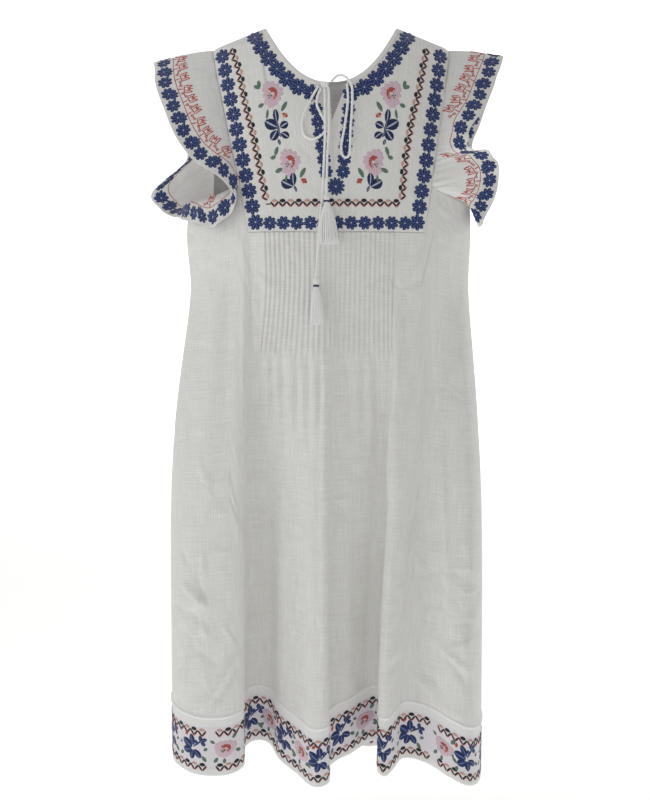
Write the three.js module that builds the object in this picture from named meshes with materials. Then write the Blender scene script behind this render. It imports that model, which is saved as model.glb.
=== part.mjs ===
// Peasant dress of thin white cotton, hanging open and filled out, front towards -Y.
// Millimetres, +Z up, +X to the right seen from the front.
// The origin lies midway between the neck ends of the two shoulder seams.
import * as THREE from "three";

// Cloth and seams.
const CLOTH = 1.4;
const SEAM_GAP = 0.3;
const SIDE_GAP = 0.4;
const HEM_BAND = 90;

// Shoulders and neck.
const SHOULDER_HALF = 179;
const SHOULDER_DROP = -33;
const NECK_HALF = 100;
const NECK_FRONT = -96;
const NECK_BACK = -66;
const NECK_ROUND = 2.3;
const BINDING = 5;

// Yoke: its foot hangs a little to the right of the middle.
const YOKE_FOOT = -311;
const YOKE_FOOT_LEFT = -121;
const YOKE_FOOT_RIGHT = 137;
const SLIT_LEFT = -4;
const SLIT_RIGHT = 22;
const SLIT_FOOT = { x: 1, z: -152 };
const SLIT_FOOT_BELOW = 8;

// Front panel: armhole bottom, pin tucks and the level where the folds start.
const NOTCH = -242;
const UNDERARM = -262;
const TUCK_PAIRS = 27;
const TUCK_FROM = 0.349;
const TUCK_TO = 0.642;
const TUCK_RISE = 2;
const TUCK_FOOT = -485;
const TUCK_FADE = 60;
const JOIN = -360;
const FOLDS_BEGIN = JOIN;
const FOLDS_END = -1125;
const ROUNDING = 2.2;
const SIDE_STRIP = 0.1;

// Ties and tassels.
const CORD = 3.4;

// The hollow form, a row for each level: reach to each side, and depth before and behind.
const FORM = [
  { z: -33, left: 179, right: 179, front: 62, back: 55 },
  { z: -80, left: 189, right: 189, front: 84, back: 70 },
  { z: -150, left: 200, right: 200, front: 101, back: 84 },
  { z: -250, left: 214, right: 212, front: 111, back: 92 },
  { z: -310, left: 222, right: 215, front: 113, back: 94 },
  { z: -400, left: 216, right: 212, front: 110, back: 92 },
  { z: -490, left: 224, right: 216, front: 112, back: 92 },
  { z: -600, left: 238, right: 223, front: 116, back: 92 },
  { z: -770, left: 251, right: 232, front: 120, back: 90 },
  { z: -1150, left: 249, right: 237, front: 122, back: 86 },
];
const FORM_AT_NECK = { front: 36, back: 32 };

// Where the front's cloth ends up at the hem, a row for each fold line, left seam to right seam.
const FRONT_FOLDS = [
  { share: 0.0, x: -243, out: 0.4, z: -1116 },
  { share: 0.05, x: -249, out: 38, z: -1117 },
  { share: 0.11, x: -238, out: 84, z: -1120 },
  { share: 0.17, x: -206, out: 112, z: -1125 },
  { share: 0.23, x: -170, out: 119, z: -1125 },
  { share: 0.28, x: -146, out: 116, z: -1121 },
  { share: 0.312, x: -133, out: 100, z: -1116 },
  { share: 0.335, x: -138, out: 70, z: -1112 },
  { share: 0.36, x: -131, out: 44, z: -1107 },
  { share: 0.385, x: -113, out: 36, z: -1104 },
  { share: 0.405, x: -95, out: 43, z: -1108 },
  { share: 0.425, x: -79, out: 68, z: -1122 },
  { share: 0.45, x: -50, out: 93, z: -1135 },
  { share: 0.47, x: -31, out: 117, z: -1141 },
  { share: 0.487, x: -15, out: 122, z: -1141 },
  { share: 0.5, x: -3, out: 112, z: -1137 },
  { share: 0.515, x: -6, out: 84, z: -1131 },
  { share: 0.535, x: 8, out: 68, z: -1124 },
  { share: 0.56, x: 30, out: 58, z: -1117 },
  { share: 0.585, x: 50, out: 41, z: -1111 },
  { share: 0.605, x: 68, out: 36, z: -1105 },
  { share: 0.625, x: 81, out: 48, z: -1108 },
  { share: 0.645, x: 79, out: 78, z: -1117 },
  { share: 0.662, x: 71, out: 100, z: -1124 },
  { share: 0.682, x: 81, out: 111, z: -1130 },
  { share: 0.705, x: 94, out: 101, z: -1123 },
  { share: 0.73, x: 108, out: 78, z: -1117 },
  { share: 0.77, x: 131, out: 78, z: -1117 },
  { share: 0.815, x: 155, out: 93, z: -1121 },
  { share: 0.86, x: 178, out: 115, z: -1128 },
  { share: 0.91, x: 206, out: 122, z: -1139 },
  { share: 0.95, x: 226, out: 96, z: -1144 },
  { share: 0.98, x: 235, out: 46, z: -1142 },
  { share: 1.0, x: 231, out: 0.4, z: -1138 },
];

// The same for the back, in even flutes.
const BACK_FOLDS = [
  { share: 0.0, x: -243, out: 0.4, z: -1116 },
  { share: 0.08, x: -236, out: 44, z: -1132 },
  { share: 0.17, x: -196, out: 88, z: -1150 },
  { share: 0.25, x: -158, out: 62, z: -1152 },
  { share: 0.33, x: -112, out: 90, z: -1156 },
  { share: 0.42, x: -60, out: 58, z: -1156 },
  { share: 0.52, x: 4, out: 94, z: -1158 },
  { share: 0.62, x: 66, out: 60, z: -1156 },
  { share: 0.7, x: 114, out: 90, z: -1156 },
  { share: 0.8, x: 166, out: 62, z: -1152 },
  { share: 0.9, x: 212, out: 74, z: -1146 },
  { share: 1.0, x: 231, out: 0.4, z: -1138 },
];

// Back armhole, from the underarm up to the shoulder tip.
const BACK_ARMHOLE = [
  { share: 0.0, x: 217, z: -262 },
  { share: 0.045, x: 184, z: -246 },
  { share: 0.085, x: 165, z: -192 },
  { share: 0.115, x: 161, z: -140 },
  { share: 0.14, x: 167, z: -85 },
  { share: 0.165, x: 179, z: -33 },
];
const BACK_NECK_SHARE = 0.33;

// Sleeve ruffles, a row for each fold round the armhole, from the underarm up the back and
// down the front: the seam's height and side, then where the free rim hangs.
const LEFT_SLEEVE = [
  { face: "back", share: 0.0, x: -234, y: 8, z: -284 },
  { face: "back", share: 0.0225, x: -254, y: 30, z: -278 },
  { face: "back", share: 0.045, x: -272, y: 52, z: -266 },
  { face: "back", share: 0.085, x: -288, y: 66, z: -242 },
  { face: "back", share: 0.115, x: -232, y: 82, z: -182 },
  { face: "back", share: 0.14, x: -262, y: 60, z: -112 },
  { face: "back", share: 0.165, x: -270, y: 2, z: -50 },
  { face: "front", z0: -98, x: -250, y: -66, z: -122 },
  { face: "front", z0: -160, x: -206, y: -98, z: -202 },
  { face: "front", z0: -212, x: -156, y: -108, z: -238 },
  { face: "front", z0: -242, x: -138, y: -106, z: -268 },
  { face: "front", share: 0.14, x: -170, y: -96, z: -302 },
  { face: "front", share: 0.07, x: -204, y: -70, z: -295 },
  { face: "front", share: 0.025, x: -226, y: -34, z: -289 },
];
const RIGHT_SLEEVE = [
  { face: "back", share: 0.0, x: 236, y: 10, z: -288 },
  { face: "back", share: 0.0225, x: 241, y: 30, z: -281 },
  { face: "back", share: 0.045, x: 246, y: 48, z: -266 },
  { face: "back", share: 0.085, x: 254, y: 62, z: -232 },
  { face: "back", share: 0.115, x: 228, y: 80, z: -172 },
  { face: "back", share: 0.14, x: 246, y: 58, z: -108 },
  { face: "back", share: 0.165, x: 262, y: 2, z: -40 },
  { face: "front", z0: -98, x: 232, y: -60, z: -116 },
  { face: "front", z0: -150, x: 200, y: -92, z: -168 },
  { face: "front", z0: -190, x: 200, y: -98, z: -190 },
  { face: "front", z0: -216, x: 233, y: -78, z: -194 },
  { face: "front", z0: -242, x: 250, y: -60, z: -222 },
  { face: "front", share: 0.14, x: 238, y: -58, z: -272 },
  { face: "front", share: 0.07, x: 222, y: -62, z: -299 },
  { face: "front", share: 0.025, x: 230, y: -28, z: -296 },
];
const RUFFLE_STEPS = 4;
const RUFFLE_ROWS = [0, 0.25, 0.5, 0.75, 1];
const RUFFLE_PUFF = 7;
const RUFFLE_START = 2.5;

// Cord routes over the yoke: across, up and how far in front of the cloth.
const LOOP_LEFT = [
  [-18.7, -102.2, 4.6], [-28.4, -119.7, 4.2], [-35.8, -134.4, 4.2], [-41.3, -149, 4.2], [-42.3, -161, 4.2],
  [-38.5, -174, 4.2], [-27.6, -179.4, 4.2], [-15.6, -175, 4.2], [-8.2, -166.4, 4.2], [-8.2, -158.3, 4.2],
  [-15.6, -142.6, 4.2], [-21, -129, 4.2], [-20, -118, 4.4], [-14.8, -106.3, 4.8],
];
const LOOP_RIGHT = [
  [22.6, -99, 3], [24, -119.7, 4.2], [21.2, -147, 4.2], [17.6, -170, 4.2], [14.3, -188.6, 4.2],
  [15.4, -201.4, 4.2], [20.3, -206, 4.2], [25, -203, 4.2], [26.8, -190.4, 4.2], [27.4, -167.5, 4.2],
  [29.4, -140, 4.8], [30.2, -115, 6.8], [29, -101.5, 7.6], [22.5, -91, 7.4], [13.8, -86.8, 6.4],
  [6.5, -89, 5.4], [0.2, -96, 4.8],
];
const TAIL_UPPER = [
  [-4.8, -104.7, 5], [-3.6, -114, 7.2], [-3.6, -140, 8.4], [-3.8, -175, 8.4], [-5.5, -198, 8.4],
  [-6.3, -221, 9.4], [-7, -258.6, 14.6],
];
const TAIL_LOWER = [
  [-9.9, -105.8, 5], [-9.4, -114, 7.2], [-9.2, -140, 8.4], [-9.2, -176, 8.4], [-10, -198, 8],
  [-11, -221, 7], [-13, -262, 6.4], [-17, -300, 6.4], [-19, -332, 6.6], [-22, -375.6, 10.6],
];
const KNOT = { x: -9.8, z: -100.5, halfX: 8, halfY: 3.8, halfZ: 4.6, lift: 4.9 };
const TASSEL_UPPER = { x: -7, z: -259.5, head: 12, skirt: 60, headR: 4.6, footR: 14.5, lift: 15, lean: 3 };
const TASSEL_LOWER = { x: -22, z: -376.5, head: 16, skirt: 54, headR: 4.6, footR: 10, lift: 11, lean: 1 };
const TASSEL_FLAT = 0.55;
const WRAP = 4;

const mix = (a, b, t) => a + (b - a) * t;
const smooth = (t) => {
  const s = Math.min(Math.max(t, 0), 1);
  return s * s * (3 - 2 * s);
};

// Value of a table's column at a place along its key, by a curve through the rows.
function along(rows, key, at, column) {
  const sign = rows[1][key] > rows[0][key] ? 1 : -1;
  let i = 0;
  while (i < rows.length - 2 && sign * (at - rows[i + 1][key]) > 0) i += 1;
  const slope = (k) => {
    const a = rows[Math.max(k - 1, 0)];
    const b = rows[Math.min(k + 1, rows.length - 1)];
    return (b[column] - a[column]) / (b[key] - a[key]);
  };
  const p = rows[i];
  const q = rows[i + 1];
  const h = q[key] - p[key];
  const t = Math.min(Math.max((at - p[key]) / h, 0), 1);
  const t2 = t * t;
  const t3 = t2 * t;
  const fromP = (2 * t3 - 3 * t2 + 1) * p[column] + (t3 - 2 * t2 + t) * h * slope(i);
  const fromQ = (3 * t2 - 2 * t3) * q[column] + (t3 - t2) * h * slope(i + 1);
  return fromP + fromQ;
}

// Reach to one side and depth of the form at a level; above the shoulder tips it narrows to the neck.
function formAt(z, side, face) {
  if (z > SHOULDER_DROP) {
    const t = z / SHOULDER_DROP;
    return {
      reach: mix(NECK_HALF, SHOULDER_HALF, t),
      depth: mix(FORM_AT_NECK[face], FORM[0][face], t),
    };
  }
  return {
    reach: along(FORM, "z", z, side < 0 ? "left" : "right"),
    depth: along(FORM, "z", z, face),
  };
}

const facing = (face) => (face === "front" ? -1 : 1);

// A point of the form's front or back at a place across and up, moved out by a lift.
function onForm(face, x, z, lift = 0) {
  const { reach, depth } = formAt(z, x, face);
  const across = Math.min(Math.abs(x) / reach, 1);
  const out = SIDE_GAP + depth * Math.sqrt(1 - across ** ROUNDING);
  return new THREE.Vector3(x, facing(face) * (out + lift), z);
}

// A point between an edge of the upper part and the level where the skirt begins: straight down the
// cloth inside, and out at the form's own reach beside the side seams.
function aboveJoin(face, share, top, joinX, t, lift = 0) {
  const side = share < 0.5 ? -1 : 1;
  const z = mix(top.z, JOIN, t);
  const reachAt = (level) => formAt(level, side, face).reach;
  const part = mix(top.x / reachAt(top.z), joinX / reachAt(JOIN), t);
  const beside = smooth(1 - Math.min(share, 1 - share) / SIDE_STRIP);
  return onForm(face, mix(mix(top.x, joinX, t), part * reachAt(z), beside), z, lift);
}

// A point of the skirt at a share of the way from seam to seam: the form above, its folds below.
function onSkirt(face, folds, share, z, lift = 0) {
  const turn = Math.sin(Math.PI * (share - 0.5));
  const { reach, depth } = formAt(z, turn, face);
  const out = SIDE_GAP + depth * Math.sqrt(Math.max(1 - Math.abs(turn) ** ROUNDING, 0));
  const hang = smooth((FOLDS_BEGIN - z) / (FOLDS_BEGIN - FOLDS_END));
  const x = mix(reach * turn, along(folds, "share", share, "x"), hang);
  const y = mix(out, Math.max(along(folds, "share", share, "out"), SIDE_GAP), hang);
  return new THREE.Vector3(x, facing(face) * (y + lift), z);
}

// Closed wall from a grid of mid-surface points, half a cloth to either side of it.
// Side-seam columns and shoulder ends can be given the way their cut edge faces.
function clothWall(grid, { round = false, thick = CLOTH, facingOut = () => null } = {}) {
  const columns = grid.length;
  const rows = grid[0].length;
  const at = (i, j) => grid[round ? (i + columns) % columns : Math.min(Math.max(i, 0), columns - 1)][
    Math.min(Math.max(j, 0), rows - 1)];
  const points = [];
  for (const half of [0.5, -0.5]) {
    for (let i = 0; i < columns; i += 1) {
      for (let j = 0; j < rows; j += 1) {
        const across = at(i + 1, j).clone().sub(at(i - 1, j));
        const down = at(i, j + 1).clone().sub(at(i, j - 1));
        const normal = facingOut(i, j) ?? down.cross(across).normalize();
        const p = grid[i][j].clone().addScaledVector(normal, half * thick);
        points.push(p.x, p.y, p.z);
      }
    }
  }
  const outer = (i, j) => (i % columns) * rows + j;
  const inner = (i, j) => columns * rows + outer(i, j);
  const faces = [];
  const quad = (a, b, c, d) => faces.push(a, b, c, a, c, d);
  const last = round ? columns : columns - 1;
  for (let i = 0; i < last; i += 1) {
    for (let j = 0; j < rows - 1; j += 1) {
      quad(outer(i, j), outer(i, j + 1), outer(i + 1, j + 1), outer(i + 1, j));
      quad(inner(i, j), inner(i + 1, j), inner(i + 1, j + 1), inner(i, j + 1));
    }
    quad(outer(i, 0), outer(i + 1, 0), inner(i + 1, 0), inner(i, 0));
    quad(outer(i + 1, rows - 1), outer(i, rows - 1), inner(i, rows - 1), inner(i + 1, rows - 1));
  }
  if (!round) {
    for (let j = 0; j < rows - 1; j += 1) {
      quad(outer(0, j + 1), outer(0, j), inner(0, j), inner(0, j + 1));
      quad(outer(last, j), outer(last, j + 1), inner(last, j + 1), inner(last, j));
    }
  }
  const geometry = new THREE.BufferGeometry();
  geometry.setAttribute("position", new THREE.Float32BufferAttribute(points, 3));
  geometry.setIndex(faces);
  geometry.computeVertexNormals();
  return geometry;
}

const range = (count) => Array.from({ length: count + 1 }, (_, k) => k / count);
const seamFacing = (grid) => (i) => {
  const atSeam = i === 0 || i === grid.length - 1;
  return atSeam ? new THREE.Vector3(Math.sign(grid[i][0].x), 0, 0) : null;
};
const shoulderFacing = (x) => {
  const run = SHOULDER_HALF - NECK_HALF;
  return new THREE.Vector3(Math.sign(x) * -SHOULDER_DROP, 0, run).normalize();
};

// Neck edge: the finished edge when grow is 0, further out on the cloth when it is more.
function neckPoint(t, drop, grow) {
  const half = NECK_HALF + grow;
  const end = (SHOULDER_DROP * grow) / (SHOULDER_HALF - NECK_HALF);
  return { x: t * half, z: end + (drop - grow - end) * (1 - Math.abs(t) ** NECK_ROUND) };
}
const shoulderPoint = (side, t) => {
  const x = mix(SHOULDER_HALF, NECK_HALF + BINDING, t);
  return { x: side * x, z: (SHOULDER_DROP * (x - NECK_HALF)) / (SHOULDER_HALF - NECK_HALF) };
};
const yokeSide = (side, z) => mix(
  side * SHOULDER_HALF,
  side < 0 ? YOKE_FOOT_LEFT : YOKE_FOOT_RIGHT,
  (SHOULDER_DROP - z) / (SHOULDER_DROP - YOKE_FOOT),
);

// Front yoke: shoulders, neck edge and the open slit along its top, straight at its foot.
function frontYoke() {
  const neckT = (x) => x / (NECK_HALF + BINDING);
  const left = [
    ...range(4).map((t) => shoulderPoint(-1, t)),
    ...range(7).slice(1).map((t) => neckPoint(mix(-1, neckT(SLIT_LEFT), t), NECK_FRONT, BINDING)),
  ];
  const right = [
    ...range(6).map((t) => neckPoint(mix(neckT(SLIT_RIGHT), 1, t), NECK_FRONT, BINDING)),
    ...range(4).slice(1).map((t) => shoulderPoint(1, 1 - t)),
  ];
  const top = [...left, SLIT_FOOT, ...right];
  const middle = left.length;
  const grid = top.map((head, i) => {
    const foot = i <= middle
      ? mix(YOKE_FOOT_LEFT, SLIT_FOOT_BELOW, i / middle)
      : mix(SLIT_FOOT_BELOW, YOKE_FOOT_RIGHT, (i - middle) / (top.length - 1 - middle));
    return range(10).map((t) => onForm("front", mix(head.x, foot, t), mix(head.z, YOKE_FOOT, t)));
  });
  const shoulder = (i, j) => (j === 0 && (i < 5 || i > top.length - 6) ? shoulderFacing(top[i].x) : null);
  return clothWall(grid, { facingOut: shoulder });
}

// Top edge of the front panel at a share: armhole bottom, yoke side, yoke foot.
const shareAt = (x, z) => 0.5 + Math.asin(x / formAt(z, x, "front").reach) / Math.PI;
function frontTop(share) {
  const side = share < 0.5 ? -1 : 1;
  const inward = side < 0 ? share : 1 - share;
  const away = side * SEAM_GAP;
  const notch = { x: yokeSide(side, NOTCH) + away, z: NOTCH };
  const foot = { x: yokeSide(side, YOKE_FOOT) + away, z: YOKE_FOOT - SEAM_GAP };
  const shareOf = (p) => (side < 0 ? shareAt(p.x, p.z) : 1 - shareAt(p.x, p.z));
  const a = shareOf(notch);
  const b = shareOf(foot);
  if (inward < a) {
    const t = inward / a;
    const { reach } = formAt(UNDERARM, side, "front");
    return { x: mix(side * reach, notch.x, t), z: mix(UNDERARM, NOTCH, t * t) };
  }
  if (inward < b) {
    const t = (inward - a) / (b - a);
    return { x: mix(notch.x, foot.x, t), z: mix(notch.z, foot.z, t) };
  }
  const { reach } = formAt(foot.z, side, "front");
  return { x: reach * Math.sin(Math.PI * (share - 0.5)), z: foot.z };
}

// Columns of the front: even at the sides, two to each pin tuck between.
const frontShares = (() => {
  const side = [0, 0.03, 0.06, 0.1, 0.14, 0.18, 0.22, 0.252];
  const left = [shareAt(yokeSide(-1, NOTCH) - SEAM_GAP, NOTCH), 0.298,
    shareAt(yokeSide(-1, YOKE_FOOT) - SEAM_GAP, YOKE_FOOT), 0.328, 0.339];
  const tucks = range(TUCK_PAIRS * 2).map((t) => mix(TUCK_FROM, TUCK_TO, t));
  const right = [0.652, 0.664, 0.678, 0.69, shareAt(yokeSide(1, YOKE_FOOT) + SEAM_GAP, YOKE_FOOT), 0.735,
    shareAt(yokeSide(1, NOTCH) + SEAM_GAP, NOTCH)];
  return [...side, ...left, ...tucks, ...right, ...side.map((s) => 1 - s).reverse().slice(1)];
})();

function tuckLift(share, z) {
  const k = ((share - TUCK_FROM) / (TUCK_TO - TUCK_FROM)) * TUCK_PAIRS * 2;
  if (k < -0.01 || k > TUCK_PAIRS * 2 + 0.01 || Math.round(k) % 2 === 0) return 0;
  return TUCK_RISE * (1 - smooth((TUCK_FOOT - z) / TUCK_FADE));
}

// Front panel: from armholes and yoke foot to the hem seam, pin-tucked under the yoke.
function frontPanel() {
  const upper = range(1);
  const lower = [0.09, 0.19, 0.25, 0.4, 0.55, 0.7, 0.85, 1];
  const grid = frontShares.map((share) => {
    const top = frontTop(share);
    const join = onSkirt("front", FRONT_FOLDS, share, JOIN);
    const seam = along(FRONT_FOLDS, "share", share, "z") + HEM_BAND;
    const head = upper.map((t) => aboveJoin("front", share, top, join.x, t, tuckLift(share, JOIN)));
    const skirt = lower.map((t) => {
      const z = mix(JOIN, seam, t);
      return onSkirt("front", FRONT_FOLDS, share, z, tuckLift(share, z));
    });
    return [...head, ...skirt];
  });
  return clothWall(grid, { facingOut: seamFacing(grid) });
}

// Top edge of the back panel at a share: armhole, shoulder, neck.
function backTop(share) {
  const side = share < 0.5 ? -1 : 1;
  const inward = side < 0 ? share : 1 - share;
  const tip = BACK_ARMHOLE[BACK_ARMHOLE.length - 1].share;
  if (inward < tip) {
    const z = along(BACK_ARMHOLE, "share", inward, "z");
    const { reach } = formAt(z, side, "back");
    return { x: side * Math.min(along(BACK_ARMHOLE, "share", inward, "x"), reach), z };
  }
  if (inward < BACK_NECK_SHARE) return shoulderPoint(side, (inward - tip) / (BACK_NECK_SHARE - tip));
  const t = (0.5 - inward) / (0.5 - BACK_NECK_SHARE);
  return neckPoint(side * t, NECK_BACK, BINDING);
}

// Back panel: one piece from shoulders and neck to the hem seam.
const BACK_HALF = [0, 0.0225, 0.045, 0.065, 0.085, 0.1, 0.115, 0.14, 0.165, 0.195, 0.225, 0.255, 0.285, 0.31,
  0.33, 0.36, 0.39, 0.42, 0.45, 0.475];
const backShares = [...BACK_HALF, 0.5, ...BACK_HALF.map((s) => 1 - s).reverse()];
function backPanel() {
  const upper = range(4);
  const lower = range(5).slice(1);
  const grid = [...backShares].reverse().map((share) => {
    const top = backTop(share);
    const join = onSkirt("back", BACK_FOLDS, share, JOIN);
    const seam = along(BACK_FOLDS, "share", share, "z") + HEM_BAND;
    const head = upper.map((t) => aboveJoin("back", share, top, join.x, t));
    const skirt = lower.map((t) => onSkirt("back", BACK_FOLDS, share, mix(JOIN, seam, t)));
    return [...head, ...skirt];
  });
  const tip = BACK_HALF.indexOf(0.165);
  const neck = BACK_HALF.indexOf(0.33);
  const sides = seamFacing(grid);
  const edges = (i, j) => {
    const inward = Math.min(i, grid.length - 1 - i);
    const shoulder = j === 0 && inward >= tip && inward <= neck;
    return shoulder ? shoulderFacing(grid[i][0].x) : sides(i);
  };
  return clothWall(grid, { facingOut: edges });
}

// Hem band: the panel's own folds carried on below the hem seam.
function hemBand(face, folds, shares) {
  const grid = shares.map((share) => {
    const hem = along(folds, "share", share, "z");
    return [HEM_BAND - SEAM_GAP, 0].map((up) => onSkirt(face, folds, share, hem + up));
  });
  return clothWall(grid, { facingOut: seamFacing(grid) });
}

// Neck binding: a strip all round the neck from one side of the slit to the other.
function neckBinding() {
  const slitT = (x) => x / NECK_HALF;
  const stations = [
    ...range(12).map((t) => ({ face: "front", drop: NECK_FRONT, t: mix(slitT(SLIT_LEFT), -1, t) })),
    ...range(20).map((t) => ({ face: "back", drop: NECK_BACK, t: mix(-1, 1, t) })),
    ...range(12).map((t) => ({ face: "front", drop: NECK_FRONT, t: mix(1, slitT(SLIT_RIGHT), t) })),
  ];
  const grid = stations.map(({ face, drop, t }) => [0, BINDING - 3 * SEAM_GAP].map((grow) => {
    const p = neckPoint(t, drop, grow);
    return onForm(face, p.x, p.z);
  }));
  return clothWall(grid.reverse());
}

// Sleeve ruffle: a frill sewn all round the armhole, its rim hanging free in deep folds.
function sleeve(side, rows) {
  const stations = rows.map((row) => {
    const share = side < 0 ? row.share : 1 - row.share;
    let seam;
    if (row.z0 !== undefined) seam = { x: yokeSide(side, row.z0), z: row.z0 };
    else seam = row.face === "front" ? frontTop(share) : backTop(share);
    return {
      seam: onForm(row.face, seam.x, seam.z),
      rim: new THREE.Vector3(row.x, row.y, row.z),
    };
  });
  const seamCurve = new THREE.CatmullRomCurve3(stations.map((s) => s.seam), true, "centripetal");
  const rimCurve = new THREE.CatmullRomCurve3(stations.map((s) => s.rim), true, "centripetal");
  const count = rows.length * RUFFLE_STEPS;
  const grid = Array.from({ length: count }, (_, k) => {
    const rim = rimCurve.getPoint(k / count);
    const seam = seamCurve.getPoint(k / count);
    const away = new THREE.Vector3(0.4 * seam.x, 1.6 * seam.y, 0).normalize();
    const start = seam.addScaledVector(away, RUFFLE_START);
    const puff = away.setZ(0.4).multiplyScalar(RUFFLE_PUFF);
    const swell = (t) => 4 * t * (1 - t) * (1 - t);
    return RUFFLE_ROWS.map((t) => start.clone().lerp(rim, t).addScaledVector(puff, swell(t)));
  });
  return clothWall(side < 0 ? grid : grid.reverse(), { round: true });
}

// Tie cord along its route in front of the yoke and the tucks below it.
function cord(route, steps) {
  const points = route.map(([x, z, lift]) => onForm("front", x, z, lift));
  const extrudePath = new THREE.CatmullRomCurve3(points, false, "centripetal");
  const section = new THREE.Shape();
  section.absarc(0, 0, CORD / 2, 0, 2 * Math.PI);
  return new THREE.ExtrudeGeometry(section, { steps, bevelEnabled: false, curveSegments: 4, extrudePath });
}

// Tassel of loose thread: a round head and a skirt that spreads, flattened against the cloth.
function tassel({ x, z, head, skirt, headR, footR, lift, lean }, part) {
  const neck = headR * 0.62;
  const wrapR = headR * 0.85;
  const tie = head * 0.8;
  const profiles = {
    body: [
      [0, 0], [headR * 0.7, -head * 0.12], [headR, -head * 0.4], [neck, -tie + WRAP / 2],
      [neck, -tie - WRAP / 2], [headR, -head * 1.05], [mix(headR, footR, 0.55), -head - skirt * 0.35],
      [footR * 0.93, -head - skirt * 0.7], [footR, -head - skirt], [0, -head - skirt],
    ],
    wrap: [[neck + SEAM_GAP, -tie + WRAP / 2], [wrapR + SEAM_GAP, -tie + WRAP / 2],
      [wrapR + SEAM_GAP, -tie - WRAP / 2], [neck + SEAM_GAP, -tie - WRAP / 2]],
  };
  const points = profiles[part].map(([r, h]) => new THREE.Vector2(r, h));
  if (part === "wrap") points.push(points[0].clone());
  const geometry = new THREE.LatheGeometry(points.reverse(), 16);
  geometry.rotateX(Math.PI / 2);
  geometry.scale(1, TASSEL_FLAT, 1);
  geometry.rotateY(-Math.atan2(lean, skirt));
  const hook = onForm("front", x, z, lift);
  return geometry.translate(hook.x, hook.y, hook.z);
}

function knot() {
  const geometry = new THREE.SphereGeometry(1, 14, 10);
  geometry.rotateX(Math.PI / 2);
  geometry.scale(KNOT.halfX, KNOT.halfY, KNOT.halfZ);
  const place = onForm("front", KNOT.x, KNOT.z, KNOT.lift);
  return geometry.translate(place.x, place.y, place.z);
}

const WHITE_CLOTH = 0xf1f0ec;
const BAND_CLOTH = 0xf3f1ed;
const CORD_WHITE = 0xefeeea;
const NAVY = 0x1d2a56;

const pieces = [
  ["front_yoke", frontYoke(), WHITE_CLOTH],
  ["front_panel", frontPanel(), WHITE_CLOTH],
  ["back_panel", backPanel(), WHITE_CLOTH],
  ["hem_band_front", hemBand("front", FRONT_FOLDS, frontShares), BAND_CLOTH],
  ["hem_band_back", hemBand("back", BACK_FOLDS, [...backShares].reverse()), BAND_CLOTH],
  ["neck_binding", neckBinding(), WHITE_CLOTH],
  ["sleeve_left", sleeve(-1, LEFT_SLEEVE), WHITE_CLOTH],
  ["sleeve_right", sleeve(1, RIGHT_SLEEVE), WHITE_CLOTH],
  ["tie_knot", knot(), CORD_WHITE],
  ["tie_loop_left", cord(LOOP_LEFT, 28), CORD_WHITE],
  ["tie_loop_right", cord(LOOP_RIGHT, 38), CORD_WHITE],
  ["tie_tail_upper", cord(TAIL_UPPER, 18), CORD_WHITE],
  ["tie_tail_lower", cord(TAIL_LOWER, 32), CORD_WHITE],
  ["tassel_upper", tassel(TASSEL_UPPER, "body"), CORD_WHITE],
  ["tassel_lower", tassel(TASSEL_LOWER, "body"), CORD_WHITE],
  ["tassel_upper_wrap", tassel(TASSEL_UPPER, "wrap"), NAVY],
  ["tassel_lower_wrap", tassel(TASSEL_LOWER, "wrap"), NAVY],
];

const dress = new THREE.Group();
dress.name = "peasant_dress";
for (const [name, geometry, color] of pieces) {
  const mesh = new THREE.Mesh(geometry, new THREE.MeshStandardMaterial({ color, roughness: 0.9 }));
  mesh.name = name;
  dress.add(mesh);
}

export default dress;
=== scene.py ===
import bpy
import numpy as np
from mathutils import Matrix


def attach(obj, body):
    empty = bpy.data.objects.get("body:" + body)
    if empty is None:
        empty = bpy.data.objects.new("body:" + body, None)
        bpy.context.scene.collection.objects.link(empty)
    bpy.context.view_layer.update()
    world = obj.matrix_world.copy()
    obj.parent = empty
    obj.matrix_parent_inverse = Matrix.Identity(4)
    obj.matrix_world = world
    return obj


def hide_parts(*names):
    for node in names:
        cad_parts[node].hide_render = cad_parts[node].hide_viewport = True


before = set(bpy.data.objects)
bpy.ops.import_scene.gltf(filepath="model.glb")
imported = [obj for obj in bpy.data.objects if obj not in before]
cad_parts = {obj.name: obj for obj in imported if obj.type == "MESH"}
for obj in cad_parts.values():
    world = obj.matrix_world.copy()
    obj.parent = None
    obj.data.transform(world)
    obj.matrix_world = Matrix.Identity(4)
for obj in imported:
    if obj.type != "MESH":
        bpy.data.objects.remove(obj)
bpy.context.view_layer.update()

# Front yoke: one flat cut of thin white slub cotton, sewn to the back along the shoulders.
# Its neck edge is bound, and a slit from the neck is tied shut at the top.
# Sizes are in millimetres from the middle of the shoulders, +z up; a face is the sign of its y.
FRONT = -1
BACK = 1
MM = 0.001
CLOTH = 1.1
SIDE_GAP = 0.4
SHOULDER_HALF = 179
SHOULDER_DROP = -33
NECK_HALF = 100
NECK_FRONT = -96
NECK_ROUND = 2.3
BINDING = 5
YOKE_FOOT = -311
YOKE_FOOT_LEFT = -121
YOKE_FOOT_RIGHT = 137
SLIT_LEFT = -4
SLIT_RIGHT = 22
SLIT_FOOT = (1, -152)
SLIT_FOOT_BELOW = 8
ROUNDING = 2.2
YOKE_ROWS = 84
SHOULDER_COLUMNS = 22
LEFT_NECK_COLUMNS = 40
RIGHT_NECK_COLUMNS = 36
SLIT_COLUMNS = 14
COTTON_PALE = "#f6f6f3"
COTTON_DULL = "#e4e3df"
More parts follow.
